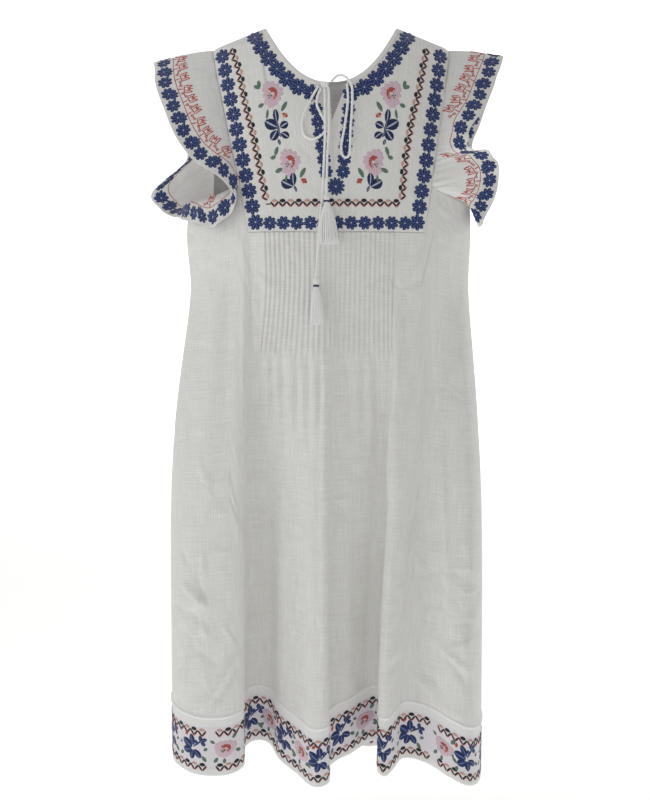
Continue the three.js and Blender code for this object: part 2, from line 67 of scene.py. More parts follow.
# The hollow form, a row for each level: height, reach to each side, depth before and behind.
FORM = np.array([
    (-33, 179, 179, 62, 55), (-80, 189, 189, 84, 70), (-150, 200, 200, 101, 84),
    (-250, 214, 212, 111, 92), (-310, 222, 215, 113, 94), (-400, 216, 212, 110, 92),
    (-490, 224, 216, 112, 92), (-600, 238, 223, 116, 92), (-770, 251, 232, 120, 90),
    (-1150, 249, 237, 122, 86)], float)
FORM_AT_NECK = {FRONT: 36, BACK: 32}
# Soft gathers and press lines of the yoke: from, to, half width and height (a trough is negative).
YOKE_CREASES = np.array([
    (-10, -106, -16, -150, 4, -1.4), (-4, -108, -6, -160, 3, -1.2), (12, -128, 14, -190, 6, 0.8),
    (1, -152, 5.5, -240, 1.6, -1.5), (-120, -60, -108, -150, 16, 1.2), (118, -60, 110, -170, 18, 1.2),
    (-50, -130, -44, -260, 22, 0.9), (62, -140, 66, -270, 20, -0.8), (-150, -60, -140, -170, 9, -1.0),
    (152, -70, 146, -180, 9, -1.0), (-90, -285, 110, -287, 5, 0.4)], float)


def curve(rows, at, column):
    """Smooth curve through a table: cubic between rows, each row's slope taken from its neighbours."""
    keys = rows[:, 0]
    values = rows[:, column]
    if keys[0] > keys[-1]:
        keys = keys[::-1]
        values = values[::-1]
    near = np.r_[0, np.arange(len(keys) - 1)]
    far = np.r_[np.arange(1, len(keys)), len(keys) - 1]
    slope = (values[far] - values[near]) / (keys[far] - keys[near])
    i = np.clip(np.searchsorted(keys, at, side="right") - 1, 0, len(keys) - 2)
    run = keys[i + 1] - keys[i]
    t = np.clip((at - keys[i]) / run, 0, 1)
    from_low = (2 * t**3 - 3 * t**2 + 1) * values[i] + (t**3 - 2 * t**2 + t) * run * slope[i]
    return from_low + (3 * t**2 - 2 * t**3) * values[i + 1] + (t**3 - t**2) * run * slope[i + 1]


def smooth(t):
    """Ease from 0 to 1 with level ends."""
    t = np.clip(t, 0, 1)
    return t * t * (3 - 2 * t)


def mix(a, b, t):
    """Straight blend from a to b."""
    return a + (b - a) * t


def form_at(z, side, face):
    """Reach and depth of the form at a level; above the shoulder tips both narrow straight to the neck."""
    depth_column = 3 if face == FRONT else 4
    reach = np.where(side < 0, curve(FORM, z, 1), curve(FORM, z, 2))
    depth = curve(FORM, z, depth_column)
    t = z / SHOULDER_DROP
    above = z > SHOULDER_DROP
    reach = np.where(above, mix(NECK_HALF, SHOULDER_HALF, t), reach)
    depth = np.where(above, mix(FORM_AT_NECK[face], FORM[0, depth_column], t), depth)
    return reach, depth


def on_form(face, x, z, lift=0.0):
    """Point of the form at a place across and up: a flattened oval section, moved out by a lift."""
    x, z = np.broadcast_arrays(np.asarray(x, float), np.asarray(z, float))
    reach, depth = form_at(z, x, face)
    across = np.minimum(np.abs(x) / reach, 1)
    out = SIDE_GAP + depth * np.sqrt(1 - across**ROUNDING)
    return np.stack([x, face * (out + lift), z], -1)


def creased(x, z, creases):
    """Sum of soft ridges and troughs, each a bell across its own line and rounded at its ends."""
    x0, z0, x1, z1, width, height = creases.T
    px, pz = x[..., None] - x0, z[..., None] - z0
    dx, dz = x1 - x0, z1 - z0
    t = np.clip((px * dx + pz * dz) / (dx * dx + dz * dz), 0, 1)
    gap = (px - t * dx) ** 2 + (pz - t * dz) ** 2
    taper = 0.35 + 2.6 * t * (1 - t)
    return (height * taper * np.exp(-gap / width**2)).sum(-1)


def neck_line(t, drop, grow):
    """Neck edge across t from -1 to 1: a flattened curve that hangs by drop, grown outwards on the cloth."""
    half = NECK_HALF + grow
    end = SHOULDER_DROP * grow / (SHOULDER_HALF - NECK_HALF)
    return t * half, end + (drop - grow - end) * (1 - np.abs(t) ** NECK_ROUND)


def shoulder_line(side, t):
    """Shoulder seam from its tip at t 0 to the neck binding at t 1."""
    x = mix(SHOULDER_HALF, NECK_HALF + BINDING, t)
    return side * x, SHOULDER_DROP * (x - NECK_HALF) / (SHOULDER_HALF - NECK_HALF)


def yoke_cloth(x, z):
    """The yoke's surface: the form with its gathers."""
    x, z = np.broadcast_arrays(np.asarray(x, float), np.asarray(z, float))
    return on_form(FRONT, x, z, creased(x, z, YOKE_CREASES))


def linear(hex_colour):
    """sRGB hex to linear light, opaque."""
    s = np.array([int(hex_colour[k:k + 2], 16) for k in (1, 3, 5)]) / 255
    return (*np.where(s <= 0.04045, s / 12.92, ((s + 0.055) / 1.055) ** 2.4), 1.0)


def put(material, kind, inputs={}, links={}, stops=(), **settings):
    """Adds a node of a kind: settings go on it, inputs on its sockets, links join other sockets to its own,
    and stops are the (place, hex) pairs of a colour ramp."""
    node = material.node_tree.nodes.new("ShaderNode" + kind)
    for key, value in settings.items():
        setattr(node, key, value)
    for key, value in inputs.items():
        node.inputs[key].default_value = value
    for key, source in links.items():
        material.node_tree.links.new(source, node.inputs[key])
    for k, (place, colour) in enumerate(stops):
        stop = node.color_ramp.elements[k] if k < 2 else node.color_ramp.elements.new(place)
        stop.position = place
        stop.color = linear(colour)
    return node


def finish_of(name, **sockets):
    """New material with these constants set on its shader's own sockets."""
    material = bpy.data.materials.new(name)
    material.use_nodes = True
    shader = material.node_tree.nodes["Principled BSDF"]
    for key, value in sockets.items():
        shader.inputs[key.replace("_", " ").title().replace("Ior", "IOR")].default_value = value
    return material, shader


def slub_cotton(name, slub_mm=1.7, run_mm=42, weave_mm=3.75, cloud_mm=60, crumple_mm=46, sway_mm=80,
                patch_mm=170):
    """Thin hand-loomed cotton: matt, a little furry, with uneven thick threads both ways and patches of
    small sharp crumples. Real threads lie 0.4 mm apart; the weave is drawn coarser so that it shows."""
    material, shader = finish_of(name, roughness=0.92, sheen_weight=0.18, sheen_roughness=0.6)
    chart = put(material, "TexCoord").outputs["UV"]
    threads = []
    for wide, tall in ((slub_mm, run_mm), (run_mm, slub_mm)):
        place = put(material, "Mapping", {"Scale": (1 / (wide * MM), 1 / (tall * MM), 1)}, {"Vector": chart})
        threads.append(put(material, "TexNoise", {"Scale": 1.0, "Detail": 3.0},
                           {"Vector": place.outputs["Vector"]}).outputs["Fac"])
    slubs = put(material, "Math", links={0: threads[0], 1: threads[1]}, operation="ADD").outputs[0]
    cloud = put(material, "TexNoise", {"Scale": 1 / (cloud_mm * MM), "Detail": 2.0}, {"Vector": chart})
    tone = put(material, "Math", {1: 0.15}, {0: cloud.outputs["Fac"], 2: slubs}, operation="MULTIPLY_ADD")
    share = put(material, "MapRange", {"From Min": 0.75, "From Max": 1.4}, {"Value": tone.outputs[0]})
    colour = put(material, "ValToRGB", links={"Fac": share.outputs["Result"]},
                 stops=((0.0, COTTON_DULL), (1.0, COTTON_PALE)))
    wave = {"Scale": np.pi / 10 / (weave_mm * MM), "Distortion": 1.2}
    weave = [put(material, "TexWave", wave, {"Vector": chart}, bands_direction=way).outputs["Fac"]
             for way in "XY"]
    cross = put(material, "Math", links={0: weave[0], 1: weave[1]}, operation="MULTIPLY").outputs[0]
    height = put(material, "Math", {1: 0.8}, {0: cross, 2: slubs}, operation="MULTIPLY_ADD").outputs[0]
    bump = put(material, "Bump", {"Strength": 0.35, "Distance": 0.5 * MM}, {"Height": height})
    sway = put(material, "TexNoise", {"Scale": 1 / (sway_mm * MM)}, {"Vector": chart}).outputs["Color"]
    bent = put(material, "VectorMath", {1: (0.05, 0.05, 0)}, {0: sway, 2: chart}, operation="MULTIPLY_ADD")
    facets = put(material, "TexVoronoi", {"Scale": 1 / (crumple_mm * MM)}, {"Vector": bent.outputs[0]},
                 feature="DISTANCE_TO_EDGE")
    cloth_patch = put(material, "TexNoise", {"Scale": 1 / (patch_mm * MM)}, {"Vector": chart}).outputs["Fac"]
    patch = put(material, "MapRange", {"From Min": 0.46, "From Max": 0.62}, {"Value": cloth_patch})
    crumple = put(material, "Math", links={0: facets.outputs["Distance"], 1: patch.outputs["Result"]},
                  operation="MULTIPLY")
    bump = put(material, "Bump", {"Strength": 0.6, "Distance": 9 * MM},
               {"Height": crumple.outputs[0], "Normal": bump.outputs[0]})
    material.node_tree.links.new(colour.outputs["Color"], shader.inputs["Base Color"])
    material.node_tree.links.new(bump.outputs["Normal"], shader.inputs["Normal"])
    return material


def mesh_piece(name, points, faces, uv, materials, material_index=None):
    """Mesh object at the origin from points in mm, with a UV for each point, that rides on the dress."""
    mesh = bpy.data.meshes.new(name)
    mesh.from_pydata((points * MM).tolist(), [], faces)
    corner = np.empty(len(mesh.loops), np.int32)
    mesh.loops.foreach_get("vertex_index", corner)
    mesh.uv_layers.new(name="UVMap").data.foreach_set("uv", uv[corner].astype(np.float32).ravel())
    mesh.polygons.foreach_set("use_smooth", np.ones(len(mesh.polygons), bool))
    for material in materials:
        mesh.materials.append(material)
    if material_index is not None:
        mesh.polygons.foreach_set("material_index", material_index.astype(np.int32))
    mesh.update()
    piece = bpy.data.objects.new(name, mesh)
    bpy.context.scene.collection.objects.link(piece)
    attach(piece, "root")
    return piece


def cloth_piece(name, grid, material, closed=False):
    """Shell of cloth through a grid of points, columns across and rows down, thickened evenly both ways.
    Its UV is the length of cloth across and down, in metres."""
    columns, rows = grid.shape[:2]
    wrapped = np.concatenate([grid, grid[:1]]) if closed else grid
    across = np.linalg.norm(np.diff(wrapped, axis=0), axis=-1).mean(1)
    down = np.linalg.norm(np.diff(grid, axis=1), axis=-1)
    u = np.r_[0, np.cumsum(across)][:columns, None] + np.zeros((1, rows))
    v = -np.concatenate([np.zeros((columns, 1)), np.cumsum(down, 1)], 1)
    index = np.arange(columns * rows).reshape(columns, rows)
    right = np.roll(index, -1, 0) if closed else index[1:]
    left = index if closed else index[:-1]
    quads = np.stack([left[:, :-1], left[:, 1:], right[:, 1:], right[:, :-1]], -1).reshape(-1, 4)
    uv = np.stack([u, v], -1).reshape(-1, 2) * MM
    piece = mesh_piece(name + "_cloth", grid.reshape(-1, 3), quads.tolist(), uv, [material])
    wall = piece.modifiers.new("cloth", "SOLIDIFY")
    wall.thickness = CLOTH * MM
    wall.offset = 0
    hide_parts(name)


def steps(count, start=0.0, end=1.0):
    """Even places from start to end."""
    return np.linspace(start, end, count + 1)


body_cotton = slub_cotton("white_slub_cotton")
slit_t = np.array([SLIT_LEFT, SLIT_RIGHT]) / (NECK_HALF + BINDING)
left_neck = neck_line(steps(LEFT_NECK_COLUMNS, -1, slit_t[0]), NECK_FRONT, BINDING)
right_neck = neck_line(steps(RIGHT_NECK_COLUMNS, slit_t[1], 1), NECK_FRONT, BINDING)
down_slit = steps(SLIT_COLUMNS)[1:]
top_parts = [
    shoulder_line(-1, steps(SHOULDER_COLUMNS)),
    (left_neck[0][1:], left_neck[1][1:]),
    tuple(mix(left_neck[k][-1], SLIT_FOOT[k], down_slit) for k in (0, 1)),
    tuple(mix(SLIT_FOOT[k], right_neck[k][0], down_slit) for k in (0, 1)),
    (right_neck[0][1:], right_neck[1][1:]),
    shoulder_line(1, 1 - steps(SHOULDER_COLUMNS)[1:])]
top_x = np.concatenate([part[0] for part in top_parts])
top_z = np.concatenate([part[1] for part in top_parts])
slit_column = SHOULDER_COLUMNS + LEFT_NECK_COLUMNS + SLIT_COLUMNS
foot_x = np.concatenate([
    mix(YOKE_FOOT_LEFT, SLIT_FOOT_BELOW, steps(slit_column)),
    mix(SLIT_FOOT_BELOW, YOKE_FOOT_RIGHT, steps(len(top_x) - 1 - slit_column)[1:])])
drop = steps(YOKE_ROWS)[None, :]
yoke_grid = yoke_cloth(mix(top_x[:, None], foot_x[:, None], drop), mix(top_z[:, None], YOKE_FOOT, drop))
cloth_piece("front_yoke", yoke_grid, body_cotton)

# Neck binding: a bias strip of the same cotton folded over the neck edge and stitched down,
# open at the two sides of the slit.
NECK_BACK = -66
BINDING_ROWS = 6
BINDING_LAP = 1.4
slit_edge = np.array([SLIT_LEFT, SLIT_RIGHT]) / NECK_HALF
stations = [(FRONT, NECK_FRONT, steps(50, slit_edge[0], -1)), (BACK, NECK_BACK, steps(70, -1, 1)[1:-1]),
            (FRONT, NECK_FRONT, steps(44, 1, slit_edge[1]))]
across_fold = steps(BINDING_ROWS)
fold_lift = 0.5 + 0.8 * np.sin(np.pi * across_fold) + 0.5 * across_fold
strip = []
for face, hang, t in stations:
    x, z = neck_line(t[:, None], hang, steps(BINDING_ROWS, 0, BINDING + BINDING_LAP)[None, :])
    strip.append(on_form(face, x, z, fold_lift))
cloth_piece("neck_binding", np.concatenate(strip)[::-1], body_cotton)

# Front panel: one length of cotton from the armholes and the yoke's foot to the hem seam.
# Rows of narrow pin tucks under the yoke are let go at the waist into soft pleats and deep folds.
SEAM_GAP = 0.3
HEM_BAND = 90
NOTCH = -242
UNDERARM = -262
TUCKS = 27
TUCK_FROM = 0.349
TUCK_TO = 0.642
TUCK_RISE = 1.3
TUCK_FOOT = -480
TUCK_FADE = 26
JOIN = -360
FOLDS_END = -1125
SIDE_STRIP = 0.1
HANG_EARLY = 0.7
CREASE_FADE_SIDE = 0.06
CREASE_FADE_HEM = 12
SIDE_COLUMNS = 56
FRONT_HEAD_ROWS = 22
FRONT_SKIRT_ROWS = 128
# Where the front's cloth ends up at the hem: share from seam to seam, across, out and height.
FRONT_FOLDS = np.array([
    (0.0, -243, 0.4, -1116), (0.05, -249, 38, -1117), (0.11, -238, 84, -1120), (0.17, -206, 112, -1125),
    (0.23, -170, 119, -1125), (0.28, -146, 116, -1121), (0.312, -133, 100, -1116), (0.335, -138, 70, -1112),
    (0.36, -131, 44, -1107), (0.385, -113, 36, -1104), (0.405, -95, 43, -1108), (0.425, -79, 68, -1122),
    (0.45, -50, 93, -1135), (0.47, -31, 117, -1141), (0.487, -15, 122, -1141), (0.5, -3, 112, -1137),
    (0.515, -6, 84, -1131), (0.535, 8, 68, -1124), (0.56, 30, 58, -1117), (0.585, 50, 41, -1111),
    (0.605, 68, 36, -1105), (0.625, 81, 48, -1108), (0.645, 79, 78, -1117), (0.662, 71, 100, -1124),
    (0.682, 81, 111, -1130), (0.705, 94, 101, -1123), (0.73, 108, 78, -1117), (0.77, 131, 78, -1117),
    (0.815, 155, 93, -1121), (0.86, 178, 115, -1128), (0.91, 206, 122, -1139), (0.95, 226, 96, -1144),
    (0.98, 235, 46, -1142), (1.0, 231, 0.4, -1138)], float)
# Creases of the front seen from before: from, to, half width and height (a trough is negative).
FRONT_CREASES = np.array([
    (-168, -400, -180, -556, 11, 3.0), (-180, -556, -186, -740, 13, 3.2), (-150, -330, -158, -600, 10, -2.2),
    (151, -262, 161, -556, 8, 3.0), (161, -556, 180, -900, 9, 3.0), (136, -300, 146, -620, 9, -2.6),
    (-214, -484, -176, -481, 3.5, -2.0), (-210, -470, -182, -462, 5, 1.4),
    (-148, -945, -192, -1022, 5, 5.5), (-136, -950, -176, -1022, 5, -3.5),
    (-162, -893, -138, -928, 3.5, 3.5), (-154, -900, -132, -936, 3.5, -2.6),
    (-212, -918, -226, -1012, 4.5, 4.0), (-222, -838, -188, -862, 6, 5.0),
    (-201, -826, -186, -858, 4, -3.0), (-214, -870, -186, -853, 5, 4.0), (-190, -788, -190, -824, 4, 3.6),
    (-199, -796, -201, -830, 4.5, -2.6), (-196, -890, -184, -914, 5, 4.0), (-207, -878, -192, -898, 4, -2.4),
    (-185, -788, -150, -780, 4, 2.6), (-172, -722, -152, -724, 4, 2.4), (-226, -784, -214, -808, 4, -3.2),
    (-200, -640, -176, -700, 6, 2.2), (-206, -930, -172, -952, 5, -2.6), (-160, -1004, -176, -1032, 5, 2.4),
    (168, -655, 177, -850, 5, 4.0), (196, -905, 208, -968, 6, 3.6), (164, -930, 208, -965, 4, 4.0),
    (172, -934, 208, -915, 4, 3.6), (180, -948, 204, -988, 4, -3.4), (132, -985, 162, -1014, 5, 3.2),
    (140, -972, 170, -1002, 4, -2.8), (80, -952, 102, -934, 5, 3.4), (84, -972, 106, -952, 5, -2.6),
    (200, -760, 214, -830, 6, 2.2), (152, -940, 150, -1000, 6, -2.4), (140, -1012, 196, -1032, 4, 2.4),
    (-128, -322, -131, -700, 4, 3.0), (-117, -322, -120, -700, 4, -4.5), (99, -480, 88, -704, 4, 3.4),
    (88, -480, 77, -704, 4, -4.5),
    (-10, -486, -12, -1046, 5.5, 5.0), (3, -490, 3, -1040, 6, -5.0), (-28, -640, -32, -1040, 11, 2.6),
    (-97, -486, -98, -590, 5, 2.4), (-89, -494, -89, -585, 3.5, -3.4), (-80, -490, -81, -600, 4.5, 2.6),
    (-72, -496, -73, -610, 3.5, -3.2), (-60, -488, -60, -620, 5, 2.8), (-50, -496, -50, -600, 3.5, -2.8),
    (-42, -490, -43, -630, 4.5, 2.8), (-33, -498, -34, -620, 3.5, -3.4), (-24, -488, -24, -590, 4, 2.4),
    (-16, -494, -17, -600, 3.5, -3.0), (14, -492, 15, -590, 4, 2.2), (24, -496, 25, -620, 3.5, -2.8),
    (36, -490, 37, -640, 5, 2.4), (47, -496, 48, -590, 3.5, -2.6), (56, -490, 58, -620, 5, 2.6),
    (66, -496, 68, -600, 3.5, -3.0), (78, -488, 81, -590, 5, 2.4), (90, -492, 93, -580, 3.5, -2.4),
    (-108, -330, -106, -600, 8, -3.0), (112, -330, 106, -560, 8, -3.0), (-70, -700, -78, -1000, 12, 2.6),
    (-52, -680, -58, -1020, 9, -2.8), (34, -640, 40, -1000, 11, -2.4), (24, -640, 26, -1000, 8, 1.8),
    (147, -390, 118, -650, 6, 3.6), (131, -420, 103, -650, 7, -3.4),
    (124, -640, 132, -1010, 12, -3.0), (150, -560, 158, -900, 12, 2.2),
    (-137, -520, -136, -1030, 9, 4.0), (-117, -480, -120, -1030, 10, -5.5), (99, -440, 88, -760, 8, 3.6),
    (88, -760, 78, -1030, 7, 3.6), (80, -470, 66, -760, 9, -5.0), (66, -760, 56, -1030, 9, -5.0),
    (-206, -560, -214, -680, 8, -1.6), (198, -420, 204, -620, 10, 2.0),
    (186, -330, 190, -420, 8, -1.6)], float)


def yoke_side(side, z):
    """Straight side of the yoke from shoulder tip to foot corner."""
    corner = YOKE_FOOT_LEFT if side < 0 else YOKE_FOOT_RIGHT
    return mix(side * SHOULDER_HALF, corner, (SHOULDER_DROP - z) / (SHOULDER_DROP - YOKE_FOOT))


def above_join(face, share, top_x, top_z, join_x, t):
    """Cloth between an upper edge and the level where the skirt begins: straight down inside,
    and out at the form's own reach beside the side seams."""
    side = np.where(share < 0.5, -1, 1)
    z = mix(top_z, JOIN, t)
    join_reach = form_at(np.full_like(top_z, JOIN), side, face)[0]
    part = mix(top_x / form_at(top_z, side, face)[0], join_x / join_reach, t)
    beside = smooth(1 - np.minimum(share, 1 - share) / SIDE_STRIP)
    x = mix(mix(top_x, join_x, t), part * form_at(z, side, face)[0], beside)
    return on_form(face, x, z)


def on_skirt(face, folds, share, z):
    """Skirt at a share of the way round and a level: the oval form above, eased into its hem folds below."""
    share, z = np.broadcast_arrays(np.asarray(share, float), np.asarray(z, float))
    turn = np.sin(np.pi * (share - 0.5))
    reach, depth = form_at(z, turn, face)
    out = SIDE_GAP + depth * np.sqrt(np.maximum(1 - np.abs(turn) ** ROUNDING, 0))
    hang = smooth(np.clip((JOIN - z) / (JOIN - FOLDS_END), 0, 1) ** HANG_EARLY)
    x = mix(reach * turn, curve(folds, share, 1), hang)
    y = mix(out, np.maximum(curve(folds, share, 2), SIDE_GAP), hang)
    return np.stack([x, face * y, z], -1)


def share_at(x, z):
    """Share of the way round the front at a place across the form."""
    return 0.5 + np.arcsin(x / form_at(np.float64(z), x, FRONT)[0]) / np.pi


def front_top(share):
    """Upper edge of the front panel: armhole bottom, then the yoke's side, then the yoke's foot."""
    side = np.where(share < 0.5, -1, 1)
    inward = np.minimum(share, 1 - share)
    x = np.zeros_like(share)
    z = np.zeros_like(share)
    for way in (-1, 1):
        notch = (yoke_side(way, NOTCH) + way * SEAM_GAP, NOTCH)
        foot = (yoke_side(way, YOKE_FOOT) + way * SEAM_GAP, YOKE_FOOT - SEAM_GAP)
        a, b = (min(share_at(*p), 1 - share_at(*p)) for p in (notch, foot))
        arm = np.clip(inward / a, 0, 1)
        beside = np.clip((inward - a) / (b - a), 0, 1)
        under_reach = form_at(np.float64(UNDERARM), way, FRONT)[0]
        foot_reach = form_at(np.float64(foot[1]), way, FRONT)[0]
        x_arm, z_arm = mix(way * under_reach, notch[0], arm), mix(UNDERARM, NOTCH, arm * arm)
        x_side, z_side = mix(notch[0], foot[0], beside), mix(notch[1], foot[1], beside)
        x_foot = foot_reach * np.sin(np.pi * (share - 0.5))
        x_way = np.where(inward < a, x_arm, np.where(inward < b, x_side, x_foot))
        z_way = np.where(inward < a, z_arm, np.where(inward < b, z_side, foot[1]))
        x = np.where(side == way, x_way, x)
        z = np.where(side == way, z_way, z)
    return x, z


def tuck_lift(share, z):
    """Pin tucks as crests with a narrow groove beside each, fading out below the waist."""
    count = (share - TUCK_FROM) / (TUCK_TO - TUCK_FROM) * TUCKS
    phase = count % 1
    crest = np.exp(-((phase - 0.48) / 0.16) ** 2) - 0.85 * np.exp(-((phase - 0.78) / 0.09) ** 2)
    inside = (count > 0) & (count < TUCKS)
    foot = TUCK_FOOT + 6 * np.sin(5.1 * count) * np.cos(1.7 * count)
    return np.where(inside, TUCK_RISE * crest * (1 - smooth((foot - z) / TUCK_FADE)), 0)


def pushed_out(grid, lift):
    """Grid moved along its own outward normal, from the cross product of its two directions."""
    across = np.gradient(grid, axis=0)
    down = np.gradient(grid, axis=1)
    normal = np.cross(down, across)
    normal /= np.linalg.norm(normal, axis=-1, keepdims=True)
    return grid + normal * lift[..., None]


def skirt_creases(grid, shares, creases):
    """Creases by where the cloth hangs as seen from before, fading to nothing at the two side seams."""
    fade = smooth(np.minimum(shares, 1 - shares) / CREASE_FADE_SIDE)
    return fade * creased(grid[..., 0], grid[..., 2], creases)


notch_shares = [share_at(yoke_side(w, NOTCH) + w * SEAM_GAP, NOTCH) for w in (-1, 1)]
foot_shares = [share_at(yoke_side(w, YOKE_FOOT) + w * SEAM_GAP, YOKE_FOOT) for w in (-1, 1)]
tuck_phases = (np.arange(TUCKS)[:, None] + np.array([0.08, 0.32, 0.48, 0.64, 0.79])).ravel()
front_shares = np.concatenate([
    steps(SIDE_COLUMNS, 0, notch_shares[0])[:-1], steps(12, notch_shares[0], foot_shares[0])[:-1],
    steps(6, foot_shares[0], TUCK_FROM)[:-1], mix(TUCK_FROM, TUCK_TO, tuck_phases / TUCKS),
    steps(10, TUCK_TO, foot_shares[1])[:-1], steps(10, foot_shares[1], notch_shares[1])[:-1],
    steps(SIDE_COLUMNS, notch_shares[1], 1)])[:, None]
front_top_x, front_top_z = front_top(front_shares)
front_join = on_skirt(FRONT, FRONT_FOLDS, front_shares, JOIN)[..., 0]
front_head = above_join(FRONT, front_shares, front_top_x, front_top_z, front_join,
                        steps(FRONT_HEAD_ROWS)[None, :-1])
front_hem = curve(FRONT_FOLDS, front_shares, 3)
front_levels = mix(JOIN, front_hem + HEM_BAND, steps(FRONT_SKIRT_ROWS)[None, :])
front_skirt = on_skirt(FRONT, FRONT_FOLDS, front_shares, front_levels)
front_grid = np.concatenate([front_head, front_skirt], 1)
front_lift = skirt_creases(front_grid, front_shares, FRONT_CREASES)
front_lift += tuck_lift(front_shares, front_grid[..., 2])
front_lift *= smooth((front_grid[..., 2] - front_grid[:, -1:, 2]) / CREASE_FADE_HEM)
cloth_piece("front_panel", pushed_out(front_grid, front_lift), body_cotton)

# Back panel: one length of the same cotton from the shoulders and the neck to the hem seam,
# sewn to the front along the shoulders and both sides.
BACK_FOLDS = np.array([
    (0.0, -243, 0.4, -1116), (0.08, -236, 44, -1132), (0.17, -196, 88, -1150), (0.25, -158, 62, -1152),
    (0.33, -112, 90, -1156), (0.42, -60, 58, -1156), (0.52, 4, 94, -1158), (0.62, 66, 60, -1156),
    (0.7, 114, 90, -1156), (0.8, 166, 62, -1152), (0.9, 212, 74, -1146), (1.0, 231, 0.4, -1138)], float)
# Back armhole from the underarm up to the shoulder tip: share, across and height.
BACK_ARMHOLE = np.array([(0.0, 217, -262), (0.045, 184, -246), (0.085, 165, -192), (0.115, 161, -140),
                         (0.14, 167, -85), (0.165, 179, -33)], float)
ARMHOLE_TIP = 0.165
NECK_SHARE = 0.33
BACK_TOP_FADE = 8
BACK_HEAD_ROWS = 36
BACK_SKIRT_ROWS = 84
# Creases of the back, laid out like the front's: from, to, half width and height.
BACK_CREASES = np.array([
    (-60, -100, -70, -330, 14, -3.0), (58, -110, 72, -340, 14, -3.0), (0, -90, 2, -300, 18, 2.6),
    (-28, -96, -36, -260, 7, 2.2), (32, -98, 40, -250, 7, 2.2), (-118, -150, -100, -330, 9, 2.4),
    (120, -150, 104, -320, 9, 2.4), (-150, -380, -160, -800, 9, 5.0), (-136, -400, -146, -800, 8, -4.0),
    (-40, -360, -52, -860, 10, -5.0), (-24, -380, -34, -860, 8, 4.0), (60, -380, 70, -880, 10, -5.0),
    (78, -400, 90, -880, 8, 4.0), (150, -420, 162, -840, 9, 5.0), (136, -440, 146, -860, 8, -4.0),
    (8, -400, 6, -1000, 9, 4.5), (20, -420, 20, -960, 7, -3.2), (-110, -480, -118, -1000, 9, 4.5),
    (-96, -500, -104, -960, 8, -3.6), (112, -500, 118, -1000, 9, 4.0), (-196, -600, -160, -660, 5, 3.0),
    (180, -640, 206, -700, 5, 3.0), (-180, -860, -140, -930, 5, 3.4), (-170, -880, -130, -950, 5, -2.6),
    (40, -900, 82, -950, 5, 3.0), (150, -880, 190, -960, 5, 3.4), (160, -870, 200, -944, 5, -2.6),
    (-200, -980, -150, -1010, 5, 3.0), (-60, -960, -20, -1010, 5, 2.8),
    (90, -980, 130, -1020, 5, 2.8)], float)


def back_top(share):
    """Upper edge of the back: armhole, shoulder seam, neck."""
    side = np.where(share < 0.5, -1, 1)
    inward = np.minimum(share, 1 - share)
    z_arm = curve(BACK_ARMHOLE, inward, 2)
    x_arm = side * np.minimum(curve(BACK_ARMHOLE, inward, 1), form_at(z_arm, side, BACK)[0])
    x_sew, z_sew = shoulder_line(side, np.clip((inward - ARMHOLE_TIP) / (NECK_SHARE - ARMHOLE_TIP), 0, 1))
    x_neck, z_neck = neck_line(side * np.clip((0.5 - inward) / (0.5 - NECK_SHARE), 0, 1), NECK_BACK, BINDING)
    arm, sew = inward < ARMHOLE_TIP, inward < NECK_SHARE
    x = np.where(arm, x_arm, np.where(sew, x_sew, x_neck))
    z = np.where(arm, z_arm, np.where(sew, z_sew, z_neck))
    return x, z


half_back = np.concatenate([steps(26, 0, ARMHOLE_TIP)[:-1], steps(24, ARMHOLE_TIP, NECK_SHARE)[:-1],
                            steps(26, NECK_SHARE, 0.5)])
back_shares = np.concatenate([half_back, 1 - half_back[-2::-1]])[::-1, None]
back_top_x, back_top_z = back_top(back_shares)
back_join = on_skirt(BACK, BACK_FOLDS, back_shares, JOIN)[..., 0]
back_head = above_join(BACK, back_shares, back_top_x, back_top_z, back_join,
                       steps(BACK_HEAD_ROWS)[None, :-1])
back_hem = curve(BACK_FOLDS, back_shares, 3)
back_levels = mix(JOIN, back_hem + HEM_BAND, steps(BACK_SKIRT_ROWS)[None, :])
back_skirt = on_skirt(BACK, BACK_FOLDS, back_shares, back_levels)
back_grid = np.concatenate([back_head, back_skirt], 1)
back_lift = skirt_creases(back_grid, back_shares, BACK_CREASES)
back_lift *= smooth((back_grid[..., 2] - back_grid[:, -1:, 2]) / CREASE_FADE_HEM)
back_lift *= smooth(np.arange(back_grid.shape[1]) / BACK_TOP_FADE)
cloth_piece("back_panel", pushed_out(back_grid, back_lift), body_cotton)

# Hem bands, front and back: strips of the cotton sewn below the panels with a narrow raised seam.
# They carry on the panels' folds and end in a turned hem.
BAND_ROWS = 30
SEAM_RISE = 2.0
TURNED_HEM = 9
TURNED_RISE = 0.5
SEAM_ROWS = np.array([2.6, 1.8, 1.0, 0.2, -0.6, -1.4, -2.4, -3.8])
SEAM_HIGHLIGHT_END = 0.006
STRIPE_TOP = 0.018
STRIPE_FOOT = 0.084
TINTED_DEPTH = 0.1
# Painted highlight: the first stop colours the raised seam pure white. The lilac stop is the band's own tint
# behind the flowers.
BAND_TINTS_AND_SEAM_HIGHLIGHT = ((0, "#ffffff"), (SEAM_HIGHLIGHT_END / TINTED_DEPTH, "#f4f4f2"),
              (STRIPE_TOP / TINTED_DEPTH, "#ece7ee"), (STRIPE_FOOT / TINTED_DEPTH, "#f4f4f2"))
